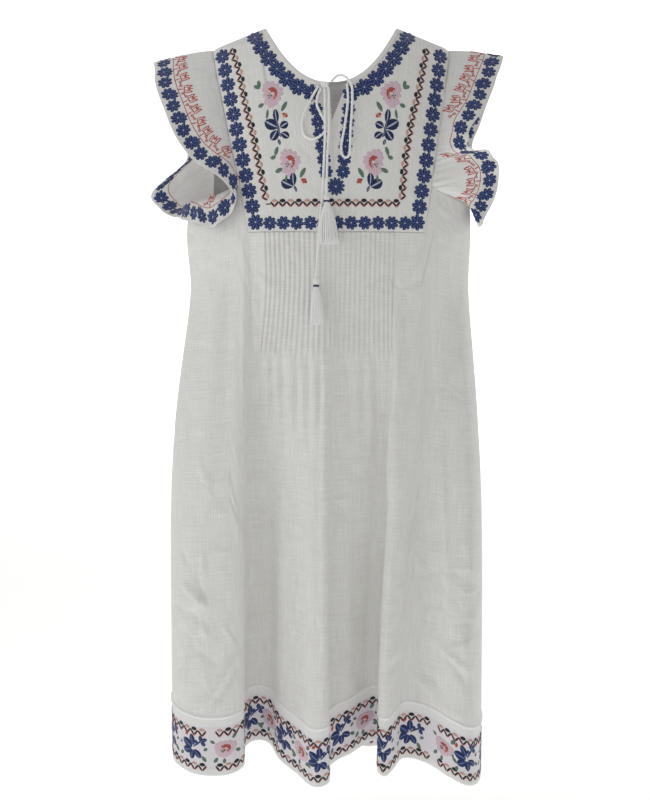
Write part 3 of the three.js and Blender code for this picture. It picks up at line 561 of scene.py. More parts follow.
# The band's cotton is the same, with a faint lilac stripe behind the flowers and a painted highlight, a pure
# white seam.
band_cotton = slub_cotton("banded_white_slub_cotton_seam_highlight")
band_shader = band_cotton.node_tree.nodes["Principled BSDF"]
band_ground = band_shader.inputs["Base Color"].links[0].from_socket
band_chart = put(band_cotton, "TexCoord").outputs["UV"]
down_band = put(band_cotton, "SeparateXYZ", links={"Vector": band_chart}).outputs["Y"]
band_share = put(band_cotton, "Math", {1: -1 / TINTED_DEPTH}, {0: down_band}, operation="MULTIPLY").outputs[0]
tints_and_seam_highlight = put(band_cotton, "ValToRGB", links={"Fac": band_share}, stops=BAND_TINTS_AND_SEAM_HIGHLIGHT)
tints_and_seam_highlight.color_ramp.interpolation = "CONSTANT"
band_tint_and_seam_highlight = put(band_cotton, "Mix", {0: 0.75}, {6: band_ground, 7: tints_and_seam_highlight.outputs["Color"]}, data_type="RGBA")
band_cotton.node_tree.links.new(band_tint_and_seam_highlight.outputs[2], band_shader.inputs["Base Color"])


def band_rise(up):
    """A rounded standing seam that laps over the panel's foot, and the thicker turned hem below."""
    seam = np.exp(-((up - HEM_BAND + 0.3) / 1.6) ** 2)
    return SEAM_RISE * seam + TURNED_RISE * smooth((TURNED_HEM - up) / 1.5)


def hem_cloth(face, folds, share, up):
    """The band's surface at a share of the way round and a height above the hem."""
    return on_skirt(face, folds, share, curve(folds, share, 3) + up)


band_up = np.r_[HEM_BAND + SEAM_ROWS, steps(BAND_ROWS, HEM_BAND - 7, 0)][None, :]
for name, panel, face, folds, shares, flat in (
        ("hem_band_front", "front_panel", FRONT, FRONT_FOLDS, front_shares, (0.96, 0.09)),
        ("hem_band_back", "back_panel", BACK, BACK_FOLDS, back_shares, (0.67, 0.09))):
    grid = hem_cloth(face, folds, shares, band_up)
    rise = np.broadcast_to(band_rise(band_up), grid.shape[:2])
    cloth_piece(name, pushed_out(grid, rise), band_cotton)

# Sleeve ruffles: a frill of the same cotton gathered and sewn to each armhole,
# its free edge hanging in deep folds.
RUFFLE_PUFF = 7
RUFFLE_START = 0.9
RUFFLE_ROWS = 34
RUFFLE_COLUMNS = 300
# Rows run from the underarm up the back and down the front: edge, place along it, then the rim's point.
SLEEVES = {
    -1: [("back", 0.0, -234, 8, -284), ("back", 0.0225, -254, 30, -278), ("back", 0.045, -272, 52, -266),
         ("back", 0.085, -288, 66, -242), ("back", 0.115, -232, 82, -182), ("back", 0.14, -262, 60, -112),
         ("back", 0.165, -270, 2, -50), ("yoke", -98, -250, -66, -122), ("yoke", -160, -206, -98, -202),
         ("yoke", -212, -156, -108, -238), ("yoke", -242, -138, -106, -268), ("front", 0.14, -170, -96, -302),
         ("front", 0.07, -204, -70, -295), ("front", 0.025, -226, -34, -289)],
    1: [("back", 0.0, 236, 10, -288), ("back", 0.0225, 241, 30, -281), ("back", 0.045, 246, 48, -266),
        ("back", 0.085, 254, 62, -232), ("back", 0.115, 228, 80, -172), ("back", 0.14, 246, 58, -108),
        ("back", 0.165, 262, 2, -40), ("yoke", -98, 232, -60, -116), ("yoke", -150, 200, -92, -168),
        ("yoke", -190, 200, -98, -190), ("yoke", -216, 233, -78, -194), ("yoke", -242, 250, -60, -222),
        ("front", 0.14, 238, -58, -272), ("front", 0.07, 222, -62, -299), ("front", 0.025, 230, -28, -296)]}


def ring(points, t):
    """Closed smooth curve through points, t from 0 to 1: each span a cubic whose end slopes weigh the
    neighbouring points by the square root of their distance."""
    count = len(points)
    place = (t % 1) * count
    i = np.floor(place).astype(int) % count
    w = (place - np.floor(place))[..., None]
    p0, p1, p2, p3 = (points[(i + k) % count] for k in (-1, 0, 1, 2))
    d0, d1, d2 = (np.sqrt(np.linalg.norm(b - a, axis=-1, keepdims=True))
                  for a, b in ((p0, p1), (p1, p2), (p2, p3)))
    m1 = ((p1 - p0) / d0 - (p2 - p0) / (d0 + d1) + (p2 - p1) / d1) * d1
    m2 = ((p2 - p1) / d1 - (p3 - p1) / (d1 + d2) + (p3 - p2) / d2) * d1
    return p1 + m1 * w + (3 * (p2 - p1) - 2 * m1 - m2) * w**2 + (2 * (p1 - p2) + m1 + m2) * w**3


def sleeve_lines(side):
    """Seam points and rim points of a ruffle from its table."""
    seam = []
    for face, place, *_ in SLEEVES[side]:
        if face == "yoke":
            x, z = yoke_side(side, place), float(place)
        else:
            edge = front_top if face == "front" else back_top
            x, z = (float(c[0]) for c in edge(np.array([place if side < 0 else 1 - place])))
        seam.append(on_form(BACK if face == "back" else FRONT, x, z))
    return np.array(seam), np.array([row[2:] for row in SLEEVES[side]], float)


def sleeve_cloth(side, k, t):
    """Ruffle surface at a share k round the armhole and t from the seam to the rim: straight out with a
    puff near the seam, and gathers that die away towards the rim."""
    k, t = np.broadcast_arrays(np.asarray(k, float), np.asarray(t, float))
    seam_points, rim_points = sleeve_lines(side)
    seam, rim = ring(seam_points, k), ring(rim_points, k)
    away = np.stack([0.4 * seam[..., 0], 1.6 * seam[..., 1], 0 * k], -1)
    away /= np.linalg.norm(away, axis=-1, keepdims=True)
    puff = away + np.array([0, 0, 0.4])
    swell = (RUFFLE_PUFF * 4 * t * (1 - t) ** 2)[..., None]
    turn = 2 * np.pi * k
    gather = np.sin(46 * turn + 2.2 * np.sin(5 * turn)) + 0.6 * np.sin(29 * turn + 1.3)
    flutter = np.sin(17 * turn + 1.1 * np.sin(3 * turn + side))
    wave = (1.1 * gather * np.exp(-(t / 0.22) ** 2) * smooth(t / 0.04) + 1.8 * flutter * t**2)[..., None]
    return mix(seam + RUFFLE_START * away, rim, t[..., None]) + puff * (swell + wave)


ruffle_k = (np.arange(RUFFLE_COLUMNS) / RUFFLE_COLUMNS)[:, None]
for side, name, flat in ((-1, "sleeve_left", (1.02, 0.062)), (1, "sleeve_right", (0.95, 0.058))):
    grid = sleeve_cloth(side, ruffle_k, steps(RUFFLE_ROWS)[None, :])
    cloth_piece(name, grid if side < 0 else grid[::-1], body_cotton,
                closed=True)

# Embroidery threads: stranded cotton floss in satin and loop stitches, worked through the cloth so that
# every stitch stands proud on both faces.
STITCH_RISE = 1.25
STITCH_SIDES = 8
STITCH_PLACES = np.array([0.04, 0.2, 0.4, 0.6, 0.8, 0.96])
PETALS = 8
BLUE, BLACK, CORAL, PINK, GREEN, PEACH, RED, ROSE, LEAF = range(9)


def floss(name, deep, lit_strand_colour, slit=None, strand_mm=2.57):
    """Stranded cotton: a soft gloss broken by strands that lie across the stitch, with painted highlight and
    shade: the strand crests are coloured lighter and the grooves between them deeper. Real strands are 0.4
    mm; they are drawn coarser so that they show. A slit is the paler cloth seen inside a looped stitch."""
    material, shader = finish_of(name, roughness=0.55, sheen_weight=0.25, specular_ior_level=0.35)
    chart = put(material, "TexCoord").outputs["UV"]
    wave = {"Scale": np.pi / 10 / strand_mm, "Distortion": 1.5}
    strands = put(material, "TexWave", wave, {"Vector": chart})
    # Painted highlight and shade: the colour runs from the deep stop in the grooves to the lighter stop on
    # the strand crests, following the bump.
    colour = put(material, "ValToRGB", links={"Fac": strands.outputs["Fac"]},
                 stops=((0.15, deep), (0.95, lit_strand_colour))).outputs["Color"]
    if slit:
        across = put(material, "SeparateXYZ", links={"Vector": chart}).outputs["Y"]
        middle = put(material, "Math", links={0: across}, operation="ABSOLUTE").outputs[0]
        edge = put(material, "MapRange", {"From Min": 0.04, "From Max": 0.2}, {"Value": middle})
        blend = put(material, "Mix", {6: linear(slit)}, {0: edge.outputs["Result"], 7: colour},
                    data_type="RGBA")
        colour = blend.outputs[2]
    bump = put(material, "Bump", {"Strength": 0.5, "Distance": 0.3 * MM}, {"Height": strands.outputs["Fac"]})
    material.node_tree.links.new(colour, shader.inputs["Base Color"])
    material.node_tree.links.new(bump.outputs["Normal"], shader.inputs["Normal"])
    return material


# In each floss the lighter colour is a painted highlight on the strand crests, and the deep one also holds
# painted shade in the grooves.
threads = [floss("navy_blue_floss", "#0b1844", "#1a3272", slit="#5f7ab6"),
           floss("black_floss", "#120f12", "#2a2023"), floss("coral_floss", "#a8453c", "#c65f50"),
           floss("lilac_pink_floss", "#d6b7c4", "#e5cfd8"), floss("sage_green_floss", "#4a6857", "#74907c"),
           floss("peach_floss", "#cc9682", "#dfb4a3"), floss("red_line_floss", "#b8423c", "#d25f55"),
           floss("rose_pink_floss", "#d798a3", "#e6bac0"),
           floss("navy_leaf_floss", "#0a153a", "#172c63", slit="#c3cde0")]


def strokes(x0, z0, x1, z1, width, thread, bend=0.0, lean=1.0, square=0.8, rise=STITCH_RISE):
    """Stitch rows: two ends, a middle pushed sideways by bend, width, how far out the widest place leans,
    how square the ends are, height and thread."""
    x0, z0, x1, z1, width, thread, bend, lean, square, rise = (
        c.ravel() for c in np.broadcast_arrays(x0, z0, x1, z1, width, thread, bend, lean, square, rise))
    xm = (x0 + x1) / 2 - bend * (z1 - z0)
    zm = (z0 + z1) / 2 + bend * (x1 - x0)
    return np.stack([x0, z0, xm, zm, x1, z1, width, lean, square, rise, thread], -1).astype(float)


def tube_faces(rings, sides, copies=1):
    """Faces of closed tubes, each so many rings of so many sides and then its two end points: quads from
    ring to ring, and a fan of triangles at each end."""
    index = np.arange(rings * sides).reshape(rings, sides)
    beside = np.roll(index, -1, 1)
    quads = np.stack([index[:-1], beside[:-1], beside[1:], index[1:]], -1).reshape(-1, 4)
    end = np.full(sides, index.size)
    caps = np.concatenate([np.stack([beside[0], index[0], end], -1),
                           np.stack([index[-1], beside[-1], end + 1], -1)])
    start = (np.arange(copies) * (index.size + 2))[:, None, None]
    return (start + quads).reshape(-1, 4), (start + caps).reshape(-1, 3)


def lay_stitches(name, rows, chart):
    """Each stitch as a closed lens along its bent line: its width swells as a sine of the way along, its
    section is an ellipse about the cloth, and chart(u, v, lift) carries it on to the cloth."""
    x0, z0, xm, zm, x1, z1, width, lean, square, rise, thread = (c[:, None, None] for c in rows.T)
    a = np.r_[0, STITCH_PLACES, 1][None, :, None]
    turn = (2 * np.pi * np.arange(STITCH_SIDES) / STITCH_SIDES)[None, None, :]
    u = (1 - a) ** 2 * x0 + 2 * a * (1 - a) * xm + a * a * x1
    v = (1 - a) ** 2 * z0 + 2 * a * (1 - a) * zm + a * a * z1
    du = (1 - a) * (xm - x0) + a * (x1 - xm)
    dv = (1 - a) * (zm - z0) + a * (z1 - zm)
    size = np.hypot(du, dv) + 1e-9
    swell = np.sin(np.pi * a**lean).clip(0) ** square
    half = width / 2 * swell * np.cos(turn)
    lift = rise * swell**0.5 * np.sin(turn)
    points = chart(u - dv / size * half, v + du / size * half, lift)
    length = np.hypot(x1 - x0, z1 - z0)
    uv = np.stack(np.broadcast_arrays(a * length, np.cos(turn) + 0 * half), -1)
    count, places = len(rows), len(STITCH_PLACES)
    rings = points[:, 1:-1].reshape(count, -1, 3)
    ends = points[:, [0, -1]].mean(2)
    all_points = np.concatenate([rings, ends], 1)
    end_uv = np.stack([uv[:, [0, -1], 0, 0], 0 * uv[:, [0, -1], 0, 0]], -1)
    all_uv = np.concatenate([uv[:, 1:-1].reshape(count, -1, 2), end_uv], 1)
    quads, caps = tube_faces(places, STITCH_SIDES, count)
    colour = np.concatenate([np.repeat(rows[:, -1], len(faces) // count) for faces in (quads, caps)])
    mesh_piece(name, all_points.reshape(-1, 3), quads.tolist() + caps.tolist(), all_uv.reshape(-1, 2),
               threads, colour)


def off_cloth(surface, u, v, lift, out):
    """Surface point moved along the cloth's normal, found from small steps both ways."""
    step = 0.4
    across = surface(u + step, v) - surface(u - step, v)
    up = surface(u, v + step) - surface(u, v - step)
    normal = np.cross(across, up)
    normal /= np.linalg.norm(normal, axis=-1, keepdims=True) + 1e-12
    return surface(u, v) + out * lift[..., None] * normal


def daisies(x, z, radius, petals, turn, spread=2 * np.pi):
    """Looped-stitch flowers: petals fanned evenly about each centre, widest near their tips."""
    x, z, radius, turn = (np.asarray(c, float)[..., None] for c in np.broadcast_arrays(x, z, radius, turn))
    angle = turn + spread * np.arange(petals) / petals
    width = 1.12 * spread * 0.7 * radius / petals
    return strokes(x, z, x + radius * np.cos(angle), z + radius * np.sin(angle), width, BLUE, lean=2.0,
                   square=0.4, rise=1.5)


def points_along(path, count):
    """Even places along a broken line, with the direction at each."""
    path = np.asarray(path, float)
    run = np.r_[0, np.cumsum(np.linalg.norm(np.diff(path, axis=0), axis=1))]
    at = np.linspace(0, run[-1], count)
    place = np.stack([np.interp(at, run, path[:, k]) for k in (0, 1)], -1)
    ahead = np.stack([np.interp(np.minimum(at + 2, run[-1]), run, path[:, k]) for k in (0, 1)], -1)
    behind = np.stack([np.interp(np.maximum(at - 2, 0), run, path[:, k]) for k in (0, 1)], -1)
    way = ahead - behind
    return place, way / np.linalg.norm(way, axis=1, keepdims=True)


def daisy_chain(path, count, radius):
    """Row of daisies that touch each other along a path, each turned a little from the last."""
    place, way = points_along(path, count)
    return daisies(*place.T, radius, PETALS, np.arctan2(way[:, 1], way[:, 0]) + 0.3 * np.arange(count))


def zigzag(path, pitch, depth, inward, caps=(BLACK, PEACH), start=0, bold=1.0):
    """Zigzag line along a path: black arms with a red edge, each mouth closed on the inner side by a filled
    half oval, black and peach by turns."""
    length = np.linalg.norm(np.diff(np.asarray(path, float), axis=0), axis=1).sum()
    count = int(round(length / pitch))
    place, way = points_along(path, 2 * count + 1)
    side = inward * np.stack([-way[:, 1], way[:, 0]], -1)
    knee = place - side * (depth * (np.arange(2 * count + 1) % 2))[:, None]
    arms = strokes(*knee[:-1].T, *knee[1:].T, 2.3 * bold, BLACK, square=0.25, rise=1.5)
    low = knee - 1.9 * side
    edges = strokes(*low[:-1].T, *low[1:].T, 1.4 * bold, CORAL, square=0.25, rise=1.2)
    mouth, along, up = place[1::2], way[1::2], side[1::2]
    kind = np.array(caps)[(np.arange(count) + start) % 2]
    a, b = mouth - 0.36 * pitch * along + 0.4 * up, mouth + 0.36 * pitch * along + 0.4 * up
    width = bold * np.where(kind == BLACK, 5.4, 4.0)
    cap = strokes(*a.T, *b.T, width, kind, bend=0.2 * inward, square=0.45, rise=1.6)
    return np.concatenate([edges, arms, cap])


def placed(rows, x, z, turn=0.0, size=1.0, mirror=1):
    """Stitch rows turned, scaled, mirrored and moved to a place."""
    rows = rows.copy()
    c, s = np.cos(turn), np.sin(turn)
    for k in (0, 2, 4):
        px, pz = rows[:, k].copy() * size, rows[:, k + 1].copy() * size
        rows[:, k] = x + mirror * (c * px - s * pz)
        rows[:, k + 1] = z + s * px + c * pz
    rows[:, 6] *= size
    return rows


def rose(wide, tall):
    """Full-blown flower: a ring of broad pale petals round a disc of rose, a coral crescent open at the lower
    left with a ragged inner edge, and a green heart with a peach patch."""
    ray = 2 * np.pi * (np.arange(13) + 0.3 * np.sin(5.0 * np.arange(13))) / 13
    reach = 1 + 0.09 * np.sin(3 * ray + 1)
    outer = strokes(0.2 * wide * np.cos(ray), 0.2 * tall * np.sin(ray), wide * reach * np.cos(ray),
                    tall * reach * np.sin(ray), 0.66 * wide, PINK, lean=1.3, square=0.5, rise=1.1)
    ray = 2 * np.pi * np.arange(9) / 9 + 0.2
    shade = np.where((ray > 2.0) & (ray < 4.4), PINK, ROSE)
    inner = strokes(0.08 * wide * np.cos(ray), 0.08 * tall * np.sin(ray), 0.6 * wide * np.cos(ray),
                    0.6 * tall * np.sin(ray), 0.34 * wide, shade, rise=1.3)
    bow = np.linspace(-1.25, 2.5, 8)
    cx, cz = 0.02 * wide + 0.4 * wide * np.cos(bow), 0.02 * tall + 0.4 * tall * np.sin(bow)
    swell = np.linspace(0.18, 0.26, 7) * wide
    crescent = strokes(cx[:-1], cz[:-1], cx[1:], cz[1:], swell, CORAL, square=0.3, rise=1.9)
    ragged = strokes(cx[2:7], cz[2:7], np.linspace(0.5, 0.1, 5) * cx[2:7], np.linspace(0.5, 0.2, 5) * cz[2:7],
                     0.2 * wide, CORAL, rise=1.8)
    heart = strokes(np.array([-0.42, -0.34, -0.2, -0.3]) * wide, np.array([-0.1, -0.3, -0.2, -0.02]) * tall,
                    np.array([-0.22, -0.12, 0.02, -0.08]) * wide,
                    np.array([-0.16, -0.28, -0.08, 0.04]) * tall, 0.2 * wide,
                    np.array([GREEN, GREEN, GREEN, PEACH]), rise=1.95)
    return np.concatenate([outer, inner, crescent, ragged, heart])


def leaves(*rows):
    """Leaves, each a row of from x, z, to x, z, width and thread, drawn a little wider than given."""
    x0, z0, x1, z1, width, thread = np.array(rows, float).T
    return strokes(x0, z0, x1, z1, width * np.where(thread == LEAF, 1.4, 1.2), thread, bend=0.06, lean=1.1,
                   square=0.55, rise=1.5)


# Yoke embroidery: chains of blue daisies along the sides, foot, neck and slit, a zigzag frame inside them,
# and a spray of two roses with blue leaves down each half, all of the same floss.
def yoke_chart(u, v, lift):
    """Yoke places are across and up."""
    return off_cloth(yoke_cloth, u, v, lift, 1)


SIDE_ROW_GAP = 13.8
NECK_ROW_GAP = 20
YOKE_EDGE_GAP = 1.5
YOKE_PITCH = 11.6
YOKE_DEPTH = 6.5
YOKE_BOLD = 1.2
left_side = [(yoke_side(-1, z) + SIDE_ROW_GAP, z) for z in (-48, -297.2)]
right_side = [(yoke_side(1, z) - SIDE_ROW_GAP, z) for z in (-48, -297.2)]
neck_x, neck_z = neck_line(np.linspace(0.945, 0.24, 24), NECK_FRONT, NECK_ROW_GAP)
left_neck_row = np.stack([-neck_x, neck_z], -1)
right_neck_row = np.stack([neck_x, neck_z], -1)
daisy_rows = [
    daisy_chain(left_side, 12, 12), daisy_chain(right_side, 12, 12),
    daisy_chain([(-89, -298.8), (107, -298.8)], 11, 10.4),
    daisy_chain(left_neck_row, 7, 13.2), daisy_chain(right_neck_row, 7, 13.2),
    daisy_chain([(-22, -136), (-8, -226)], 6, 10.5), daisy_chain([(25, -136), (17, -226)], 6, 10.5),
    daisies(6.5, -247, 13.5, 12, 0.1)]
left_frame = [(-146, -37), (-134, -70), (-123, -125), (-112, -167), (-102, -216), (-92, -266)]
right_frame = [(140, -38), (134, -64), (125, -110), (115, -146), (109, -181), (104, -215), (100, -265)]
foot_frame = [(-88, -268), (100, -268)]
frame_rows = [
    zigzag(left_frame, YOKE_PITCH, YOKE_DEPTH, 1, bold=YOKE_BOLD),
    zigzag(foot_frame, YOKE_PITCH, YOKE_DEPTH, 1, caps=(PEACH, BLACK), bold=YOKE_BOLD),
    zigzag(right_frame, YOKE_PITCH, YOKE_DEPTH, -1, bold=YOKE_BOLD),
    strokes(-95, -271.5, -86, -271.5, 2.2, BLACK, square=0.25)]
spray = np.concatenate([
    placed(rose(16, 21), -86, -112), placed(rose(15.5, 21), -60, -212),
    leaves((-104, -103, -106, -91, 5.5, GREEN), (-103, -103, -113, -99, 6, GREEN),
           (-98, -126, -106, -131, 6, GREEN), (-92, -134, -94, -149, 4, GREEN),
           (-72, -139, -64, -124, 6, GREEN), (-71, -141, -63, -147, 6, CORAL),
           (-69, -148, -64, -141, 5, PEACH), (-81, -203, -77, -189, 5.5, GREEN),
           (-80, -203, -88, -206, 6, GREEN), (-70, -220, -81, -226, 6.5, GREEN),
           (-65, -229, -66, -244, 4, GREEN), (-45, -235, -37, -220, 6, GREEN),
           (-44, -236, -35, -242, 6, CORAL), (-41, -243, -37, -235, 4, CORAL),
           (-78, -155, -81, -134, 7.5, LEAF), (-77, -162, -96, -151, 14, LEAF),
           (-78, -165, -87, -180, 11, LEAF), (-74, -162, -62, -155, 10, LEAF),
           (-72, -169, -61, -177, 9, LEAF), (-76, -170, -71, -175, 4, LEAF),
           (-80, -150, -75, -174, 3, LEAF), (-77, -178, -74, -187, 3.6, LEAF),
           (-55, -247, -72, -238, 13, LEAF), (-54, -246, -55, -226, 8.5, LEAF),
           (-54, -245, -50, -255, 3, LEAF))])
mirrored = placed(spray, 1.5, 0, mirror=-1)
yoke_rows = np.concatenate([*daisy_rows, *frame_rows, spray, mirrored])
tip_x, tip_z = yoke_rows[:, 4], yoke_rows[:, 5]
neck_x, neck_z = neck_line(np.linspace(-1, 1, 200), NECK_FRONT, BINDING + YOKE_EDGE_GAP)
shoulder_z = SHOULDER_DROP * (np.abs(tip_x) - NECK_HALF) / (SHOULDER_HALF - NECK_HALF)
inside = (tip_z > YOKE_FOOT + YOKE_EDGE_GAP) & (tip_z < shoulder_z - YOKE_EDGE_GAP)
inside &= (tip_x > yoke_side(-1, tip_z) + YOKE_EDGE_GAP) & (tip_x < yoke_side(1, tip_z) - YOKE_EDGE_GAP)
inside &= tip_z < np.interp(tip_x, neck_x, neck_z)
lay_stitches("yoke_embroidery", yoke_rows[inside], yoke_chart)

# Hem embroidery: two zigzag rows of floss round the band, with blue leaf sprays and pale roses by turns
# between them, worked through the cotton.
HEM_LOW = 15
HEM_HIGH = 69
HEM_MIDDLE = 41


def hem_chart(face, folds):
    """Places on the band: length along it, and height above the hem."""
    share = np.linspace(0, 1, 1201)
    line = hem_cloth(face, folds, share, HEM_MIDDLE)
    run = np.r_[0, np.cumsum(np.linalg.norm(np.diff(line, axis=0), axis=1))]

    def surface(u, v):
        return hem_cloth(face, folds, np.interp(u, run, share), v)

    return run[-1], lambda u, v, lift: off_cloth(surface, u, v, lift, -face)


hem_rose = np.concatenate([rose(20, 15), leaves((-14, -13, -22, -21, 6, GREEN), (-3, -16, -5, -25, 6, GREEN),
                                                (14, 13, 22, 21, 7, GREEN), (17, -8, 26, -15, 6, GREEN),
                                                (-16, 12, -24, 17, 5, GREEN))])
hem_spray = leaves((-1, 0, -22, 9, 15, BLUE), (-2, -4, -21, -11, 13, BLUE), (0, -4, -3, -22, 11, BLUE),
                   (1, 3, -5, 23, 11, BLUE), (2, -3, 16, -16, 11, BLUE), (0, 0, 17, 16, 3.4, BLUE),
                   (14, 13, 13, 24, 7, BLUE), (15, 14, 25, 19, 7, BLUE), (14, 12, 23, 7, 7, BLUE),
                   (7, 6, 5, 15, 6, BLUE), (17, -12, 26, -21, 6.5, GREEN), (-20, -15, -27, -22, 6, GREEN),
                   (20, -2, 27, 3, 5.5, GREEN), (-17, 16, -12, 24, 5.5, CORAL), (-24, 1, -29, 0, 5, GREEN))
FRONT_BLUES = (22, 72, 126, 236, 276, 353, 431, 510, 600, 662, 725, 826, 884, 935)
FRONT_ROSES = (177, 312, 393, 556, 787, 47, 910)
FRONT_GAPS = (155, 767)
GAP_HALF = 7
END_GAP = 3
HEM_PITCH = 13
HEM_DEPTH = 8
HEM_BOLD = 1.25
BACK_REPEAT = 92
for face, folds, name in ((FRONT, FRONT_FOLDS, "hem_embroidery_front"),
                          (BACK, BACK_FOLDS, "hem_embroidery_back")):
    length, chart = hem_chart(face, folds)
    gaps = [at + way for at in FRONT_GAPS for way in (-GAP_HALF, GAP_HALF)] if face == FRONT else []
    ends = [END_GAP, *gaps, length - END_GAP]
    rows = [zigzag([(a, up), (b, up)], HEM_PITCH, HEM_DEPTH, 1, start=k, bold=HEM_BOLD)
            for a, b in zip(ends[::2], ends[1::2]) for k, up in enumerate((HEM_LOW, HEM_HIGH))]
    blues = FRONT_BLUES if face == FRONT else np.arange(24, length, BACK_REPEAT)
    roses = FRONT_ROSES if face == FRONT else np.arange(70, length - 20, BACK_REPEAT)
    rows += [placed(hem_spray, at, HEM_MIDDLE, 0.25 * np.sin(3 * k), 0.88) for k, at in enumerate(blues)]
    rows += [placed(hem_rose, at, HEM_MIDDLE, 0.1 * np.cos(2 * k), 0.9) for k, at in enumerate(roses)]
    rows = np.concatenate(rows)
    on_band = (rows[:, [0, 4]].min(1) > END_GAP) & (rows[:, [0, 4]].max(1) < length - END_GAP)
    lay_stitches(name, rows[on_band], chart)

# Sleeve embroidery: blue daisies along the free edge, a thin red line inside them, and a row of red outlined
# tulips and leaves between the line and the gathers.
def sleeve_chart(side):
    """Places on a ruffle: length along its rim, and depth in from the rim."""
    k = np.linspace(0, 1, 1501)
    rim = sleeve_cloth(side, k, 1.0)
    run = np.r_[0, np.cumsum(np.linalg.norm(np.diff(rim, axis=0), axis=1))]
    depth = np.linalg.norm(rim - sleeve_cloth(side, k, 0.0), axis=1)

    def surface(u, v):
        at = np.interp(u % run[-1], run, k)
        return sleeve_cloth(side, at, 1 - v / np.interp(at, k, depth))

    return run, depth, lambda u, v, lift: off_cloth(surface, u, v, lift, 1)


RIM_DAISY = 12.0
RIM_SPACING = 23.5
RED_LINE = 31.0
TULIP_ROOM = 52
tulip = np.concatenate([
    strokes(np.array([-5, 5, -5, 0, 5, -5, 0, 0]), np.array([0, 0, 0, 3, 0, 9, 4, -1]),
            np.array([-5, 5, 5, 0, 5, 0, 5, 0]), np.array([9, 9, 0, 10, 1, 4, 9, -8]), 1.7, RED,
            square=0.25, rise=1.05),
    strokes(np.array([-2.4, 2.4]), 1, np.array([-2.4, 2.4]), 6, 1.4, RED, square=0.25)])
bow_leaf = np.concatenate([
    strokes(np.array([-6, 6, -6, 6]), np.array([3, 3, -3, -3]), np.array([6, -6, -6, 6]),
            np.array([-3, -3, 3, 3]), 1.6, RED, square=0.25, rise=1.05),
    strokes(np.array([-4, 4]), 2, np.array([-4, 4]), -2, 1.4, RED, square=0.25)])
for side, name in ((-1, "sleeve_embroidery_left"), (1, "sleeve_embroidery_right")):
    run, depth, chart = sleeve_chart(side)
    whole = run[-1]
    count = int(whole / RIM_SPACING)
    at = (np.arange(count) + 0.5) * whole / count
    line = np.linspace(0, whole, 161)
    rows = [daisies(at, 15.0, RIM_DAISY, PETALS, 0.3), daisies(at[::2] + 4, 19.0, 11.0, 4, 0.3, spread=2.6),
            strokes(line[:-1], RED_LINE, line[1:] + 0.6, RED_LINE, 1.8, RED, square=0.2, rise=1.0)]
    share = np.interp(at, run, np.linspace(0, 1, len(run)))
    room = np.interp(at, run, depth)
    for k in np.flatnonzero((room > TULIP_ROOM) & (share > 0.3) & (share < 0.85)):
        rows.append(placed(tulip, at[k], 41.0, 0.3 * np.sin(2.0 * k), 1.45))
        rows.append(placed(bow_leaf, at[k] + 11.5, 38.0, 0.5 * np.cos(k), 0.95))
    lay_stitches(name, np.concatenate(rows), chart)

# Tie: a thin twisted cotton cord knotted over the slit in a bow, with two loops and two tails.
# Each tail's end is caught inside its tassel.
CORD = 3.4
CORD_SIDES = 12
CORD_LAY = 7.0
# A route is across, up and how far the cord lies in front of the cloth.
LOOP_LEFT = [(-18.7, -102.2, 4.6), (-28.4, -119.7, 4.2), (-35.8, -134.4, 4.2), (-41.3, -149, 4.2),
             (-42.3, -161, 4.2), (-38.5, -174, 4.2), (-27.6, -179.4, 4.2), (-15.6, -175, 4.2),
             (-8.2, -166.4, 4.2), (-8.2, -158.3, 4.2), (-15.6, -142.6, 4.2), (-21, -129, 4.2),
             (-20, -118, 4.4), (-14.8, -106.3, 4.8)]
LOOP_RIGHT = [(22.6, -99, 3), (24, -119.7, 4.2), (21.2, -147, 4.2), (17.6, -170, 4.2), (14.3, -188.6, 4.2),
              (15.4, -201.4, 4.2), (20.3, -206, 4.2), (25, -203, 4.2), (26.8, -190.4, 4.2),
              (27.4, -167.5, 4.2), (29.4, -140, 4.8), (30.2, -115, 6.8), (29, -101.5, 7.6),
              (22.5, -91, 7.4), (13.8, -86.8, 6.4), (6.5, -89, 5.4), (0.2, -96, 4.8)]
TAIL_UPPER = [(-4.8, -104.7, 5), (-3.6, -114, 7.2), (-3.6, -140, 8.4), (-3.8, -175, 8.4), (-5.5, -198, 8.4),
              (-6.3, -221, 9.4), (-7, -258.6, 14.6), (-6.4, -271, 15.2)]
TAIL_LOWER = [(-9.9, -105.8, 5), (-9.4, -114, 7.2), (-9.2, -140, 8.4), (-9.2, -176, 8.4), (-10, -198, 8),
              (-11, -221, 7), (-13, -262, 6.4), (-17, -300, 6.4), (-19, -332, 6.6), (-22, -375.6, 10.6),
              (-22, -390, 11.2)]


def open_line(points, count):
    """Open smooth curve through points, by the closed one with its ends carried straight on."""
    points = np.asarray(points, float)
    padded = np.concatenate([points, 2 * points[-1:] - points[-2:-1], 2 * points[:1] - points[1:2]])
    return ring(padded, np.linspace(0, (len(points) - 1) / len(padded), count))


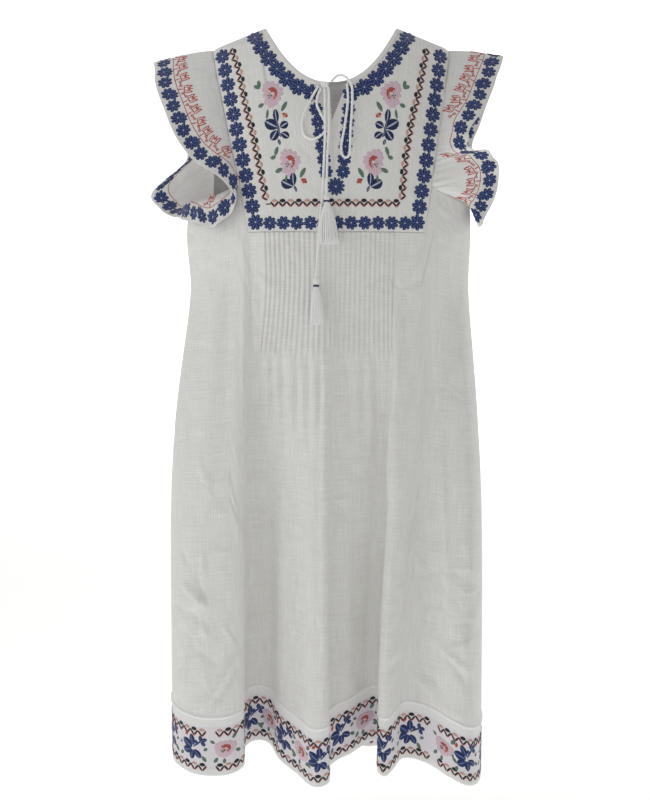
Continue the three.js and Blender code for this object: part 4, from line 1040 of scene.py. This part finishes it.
def tube(path, radius, lobes=0, lay=1.0, sides=CORD_SIDES):
    """Tube along a path: a round section, or a lobed one that turns once in each lay, with closed ends.
    Returns points, faces and UV of length and turn."""
    ahead = np.gradient(path, axis=0)
    ahead /= np.linalg.norm(ahead, axis=1, keepdims=True)
    side = np.cross(ahead, np.array([0.13, 1.0, 0.07]))
    side /= np.linalg.norm(side, axis=1, keepdims=True)
    up = np.cross(side, ahead)
    run = np.r_[0, np.cumsum(np.linalg.norm(np.diff(path, axis=0), axis=1))]
    turn = (2 * np.pi * np.arange(sides) / sides)[None, :]
    spin = 2 * np.pi * run[:, None] / lay
    size = np.asarray(radius)[..., None] * (1 + 0.11 * np.cos(lobes * turn - spin) * (lobes > 0))
    rim = (size * np.cos(turn))[..., None] * side[:, None] + (size * np.sin(turn))[..., None] * up[:, None]
    points = np.concatenate([(path[:, None] + rim).reshape(-1, 3), path[[0, -1]]])
    quads, caps = tube_faces(len(path), sides)
    uv = np.stack(np.broadcast_arrays(run[:, None], turn - spin / max(lobes, 1)), -1).reshape(-1, 2)
    return points, quads.tolist() + caps.tolist(), np.concatenate([uv, uv[[0, -1]]])


def twisted_cotton(name, pale, shaded_hollow_colour, fibre_mm=0.625):
    """Soft twisted cotton: matt white, with painted shade: the hollows between its fibres are coloured
    greyer.
    """
    material, shader = finish_of(name, roughness=0.85, sheen_weight=0.2)
    chart = put(material, "TexCoord").outputs["UV"]
    fibre = put(material, "TexNoise", {"Scale": 1 / fibre_mm, "Detail": 3.0}, {"Vector": chart})
    bump = put(material, "Bump", {"Strength": 0.4, "Distance": 0.3 * MM}, {"Height": fibre.outputs["Fac"]})
    # Painted shade: the low places of the fibre noise, which the bump sinks, are coloured greyer than the
    # crests.
    colour = put(material, "ValToRGB", links={"Fac": fibre.outputs["Fac"]}, stops=((0.3, shaded_hollow_colour), (0.65, pale)))
    material.node_tree.links.new(colour.outputs["Color"], shader.inputs["Base Color"])
    material.node_tree.links.new(bump.outputs["Normal"], shader.inputs["Normal"])
    return material


# The second colour is painted shade in the hollows between the cord's fibres.
cord_cotton = twisted_cotton("twisted_white_cotton", "#ffffff", "#f1f0ec")
cord_pieces = {}
for name, route, count in (("tie_loop_left", LOOP_LEFT, 150), ("tie_loop_right", LOOP_RIGHT, 220),
                           ("tie_tail_upper", TAIL_UPPER, 140), ("tie_tail_lower", TAIL_LOWER, 220)):
    x, z, lift = np.array(route, float).T
    path = open_line(on_form(FRONT, x, z, lift), count)
    points, faces, uv = tube(path, np.full(count, 0.53 * CORD), lobes=3, lay=CORD_LAY)
    piece = mesh_piece(name + "_cord", points, faces, uv, [cord_cotton])
    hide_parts(name)
    cord_pieces[name] = (piece, path)

# Knot: the same cord wound a few turns round itself, over the slit,
# where the loops and tails meet.
KNOT = (-9.8, -100.5, 4.9)
KNOT_HALF = np.array([8, 2.3, 3.1])
KNOT_TURNS = 3.2
KNOT_STEPS = 120
wind = np.linspace(0, 2 * np.pi * KNOT_TURNS, KNOT_STEPS)
across = np.linspace(-0.62, 0.62, KNOT_STEPS)
hoop = np.sqrt(1 - across**2)
winding = np.stack([across, hoop * np.cos(wind), hoop * np.sin(wind)], -1)
points, faces, uv = tube(on_form(FRONT, *KNOT) + KNOT_HALF * winding, np.full(KNOT_STEPS, 0.48 * CORD),
                         lobes=3, lay=CORD_LAY)
tie_knot = mesh_piece("tie_knot_wound", points, faces, uv, [cord_cotton])
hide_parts("tie_knot")

# Tassels: a bundle of loose cotton threads doubled over the cord's end, tied below the head with navy thread,
# the skirt spreading a little and lying flat against the cloth.
TASSEL_UPPER = dict(x=-7, z=-259.5, head=12, skirt=60, head_r=4.6, foot_r=14.5, lift=15, lean=3)
TASSEL_LOWER = dict(x=-22, z=-376.5, head=16, skirt=54, head_r=4.6, foot_r=10, lift=11, lean=1)
TASSEL_FLAT = 0.55
WRAP = 4
WRAP_TURNS = 3.5
WRAP_STEPS = 110
STRANDS = 90
STRAND_STEPS = 14
STRAND_SIDES = 5
STRAND_RADIUS = 0.95
GOLDEN_TURN = 0.381966
rng = np.random.default_rng(7)
# The wrap thread's lighter colour is a painted highlight on its strands. The tassel's greyer colour is
# painted shade in its fibre hollows.
wrap_thread = floss("navy_wrap_thread", "#101a3c", "#24336b")
tassel_cotton = twisted_cotton("loose_white_cotton_thread", "#ffffff", "#f2f1ee")
for name, tassel in (("tassel_upper", TASSEL_UPPER), ("tassel_lower", TASSEL_LOWER)):
    hook = on_form(FRONT, tassel["x"], tassel["z"], tassel["lift"])
    head, skirt, head_r, foot_r = (tassel[k] for k in ("head", "skirt", "head_r", "foot_r"))
    slope = tassel["lean"] / skirt
    level = np.r_[0, 0.12, 0.4, 0.8, 1.1, 1 + np.array([0.3, 0.65, 1.0]) * skirt / head] * head
    spread = np.r_[np.array([0.15, 0.7, 1.0, 0.62, 0.95]) * head_r,
                   mix(head_r, foot_r, np.array([0.5, 0.85, 0.97]))]
    angle = 2 * np.pi * (np.arange(STRANDS) * GOLDEN_TURN)
    share = np.sqrt((np.arange(STRANDS) + 0.5) / STRANDS)
    end = 1 - 0.07 * rng.random(STRANDS)
    sway = rng.normal(0, 0.5, (STRANDS, 2, len(level)))
    strands = []
    for k in range(STRANDS):
        r = share[k] * (spread - 0.7)
        drop = level * np.where(level > 1.2 * head, end[k], 1)
        line = np.stack([r * np.cos(angle[k]) + 0.25 * sway[k, 0] + slope * drop,
                         TASSEL_FLAT * r * np.sin(angle[k]) + 0.1 * sway[k, 1], -drop], -1)
        strands.append(tube(hook + open_line(line, STRAND_STEPS), np.full(STRAND_STEPS, STRAND_RADIUS),
                            sides=STRAND_SIDES))
    quads, caps = tube_faces(STRAND_STEPS, STRAND_SIDES, STRANDS)
    bundle = mesh_piece(name + "_threads", np.concatenate([strand[0] for strand in strands]),
                        quads.tolist() + caps.tolist(), np.concatenate([strand[2] for strand in strands]),
                        [tassel_cotton])
    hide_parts(name)
    turns = np.linspace(0, 2 * np.pi * WRAP_TURNS, WRAP_STEPS)
    tie = 0.8 * head
    around = 0.8 * head_r
    coil = hook + np.stack([around * np.cos(turns) + slope * tie, TASSEL_FLAT * around * np.sin(turns),
                            -tie + WRAP / 2 * np.linspace(0.75, -0.75, WRAP_STEPS)], -1)
    points, faces, uv = tube(coil, np.full(WRAP_STEPS, 0.65), sides=8)
    wrap = mesh_piece(name + "_wrap_wound", points, faces, uv, [wrap_thread])
    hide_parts(name + "_wrap")

# Cords as laid: from the knot, the left loop goes back into it, the right one into the neck edge, and each
# # tail into its tassel. Each cord's length is worked out here; nothing uses it.
for name, tail_end in (("tie_loop_left", None), ("tie_loop_right", None), ("tie_tail_upper", "tassel_upper"),
                       ("tie_tail_lower", "tassel_lower")):
    piece, path = cord_pieces[name]
    length = np.linalg.norm(np.diff(path, axis=0), axis=1).sum() * MM

# Studio: a pale floor under the hanging dress and a white wall well behind it, in an even soft surround,
# with a broad light overhead and a weak one low at each side, one before the dress and one behind.
FLOOR = -1.3
WALL = 5.0
FLOOR_HALF = 9.0
WALL_HALF = 2.8
WALL_TOP = 2.6
SURROUND = 0.31
stage_faces = {
    "floor": [(-FLOOR_HALF, -FLOOR_HALF, FLOOR), (FLOOR_HALF, -FLOOR_HALF, FLOOR), (FLOOR_HALF, WALL, FLOOR),
              (-FLOOR_HALF, WALL, FLOOR)],
    "wall": [(-WALL_HALF, WALL, FLOOR), (WALL_HALF, WALL, FLOOR), (WALL_HALF, WALL, WALL_TOP),
             (-WALL_HALF, WALL, WALL_TOP)]}
for name, glow in (("floor", 0.5), ("wall", 1.0)):
    stage_mesh = bpy.data.meshes.new(name)
    stage_mesh.from_pydata(stage_faces[name], [], [(0, 1, 2, 3)])
    stage_piece = bpy.data.objects.new(name, stage_mesh)
    bpy.context.scene.collection.objects.link(stage_piece)
    stage_mesh.materials.append(finish_of("pale_studio_" + name, base_color=linear("#f4f4f2"), roughness=0.9,
                                          emission_color=(1, 1, 1, 1), emission_strength=glow)[0])
world = bpy.data.worlds.new("soft_surround")
bpy.context.scene.world = world
world.use_nodes = True
world.node_tree.nodes["Background"].inputs["Color"].default_value = (1, 1, 1, 1)
world.node_tree.nodes["Background"].inputs["Strength"].default_value = SURROUND
for name, place, turn, size, power in (("sky", (-0.1, -0.1, 1.3), (0, 0, 0), 2.0, 5.5),
                                       ("window", (-1.7, -0.75, 0.15), (1.2, 0, -1.2), 1.1, 6.0),
                                       ("far_window", (1.7, 0.85, 0.15), (1.2, 0, 1.94), 1.1, 6.0)):
    light = bpy.data.lights.new(name, "AREA")
    light.size = size
    light.energy = power
    lamp = bpy.data.objects.new(name, light)
    lamp.location = place
    lamp.rotation_euler = turn
    bpy.context.scene.collection.objects.link(lamp)
camera_data = bpy.data.cameras.new("camera")
camera_data.lens = 48.94
camera_data.sensor_width = 36
camera = bpy.data.objects.new("camera", camera_data)
camera.location = (-0.0091, -1.7, -0.403)
camera.rotation_euler = (np.radians(84.5), 0, 0)
bpy.context.scene.collection.objects.link(camera)
bpy.context.scene.camera = camera
bpy.context.scene.view_settings.view_transform = "Standard"
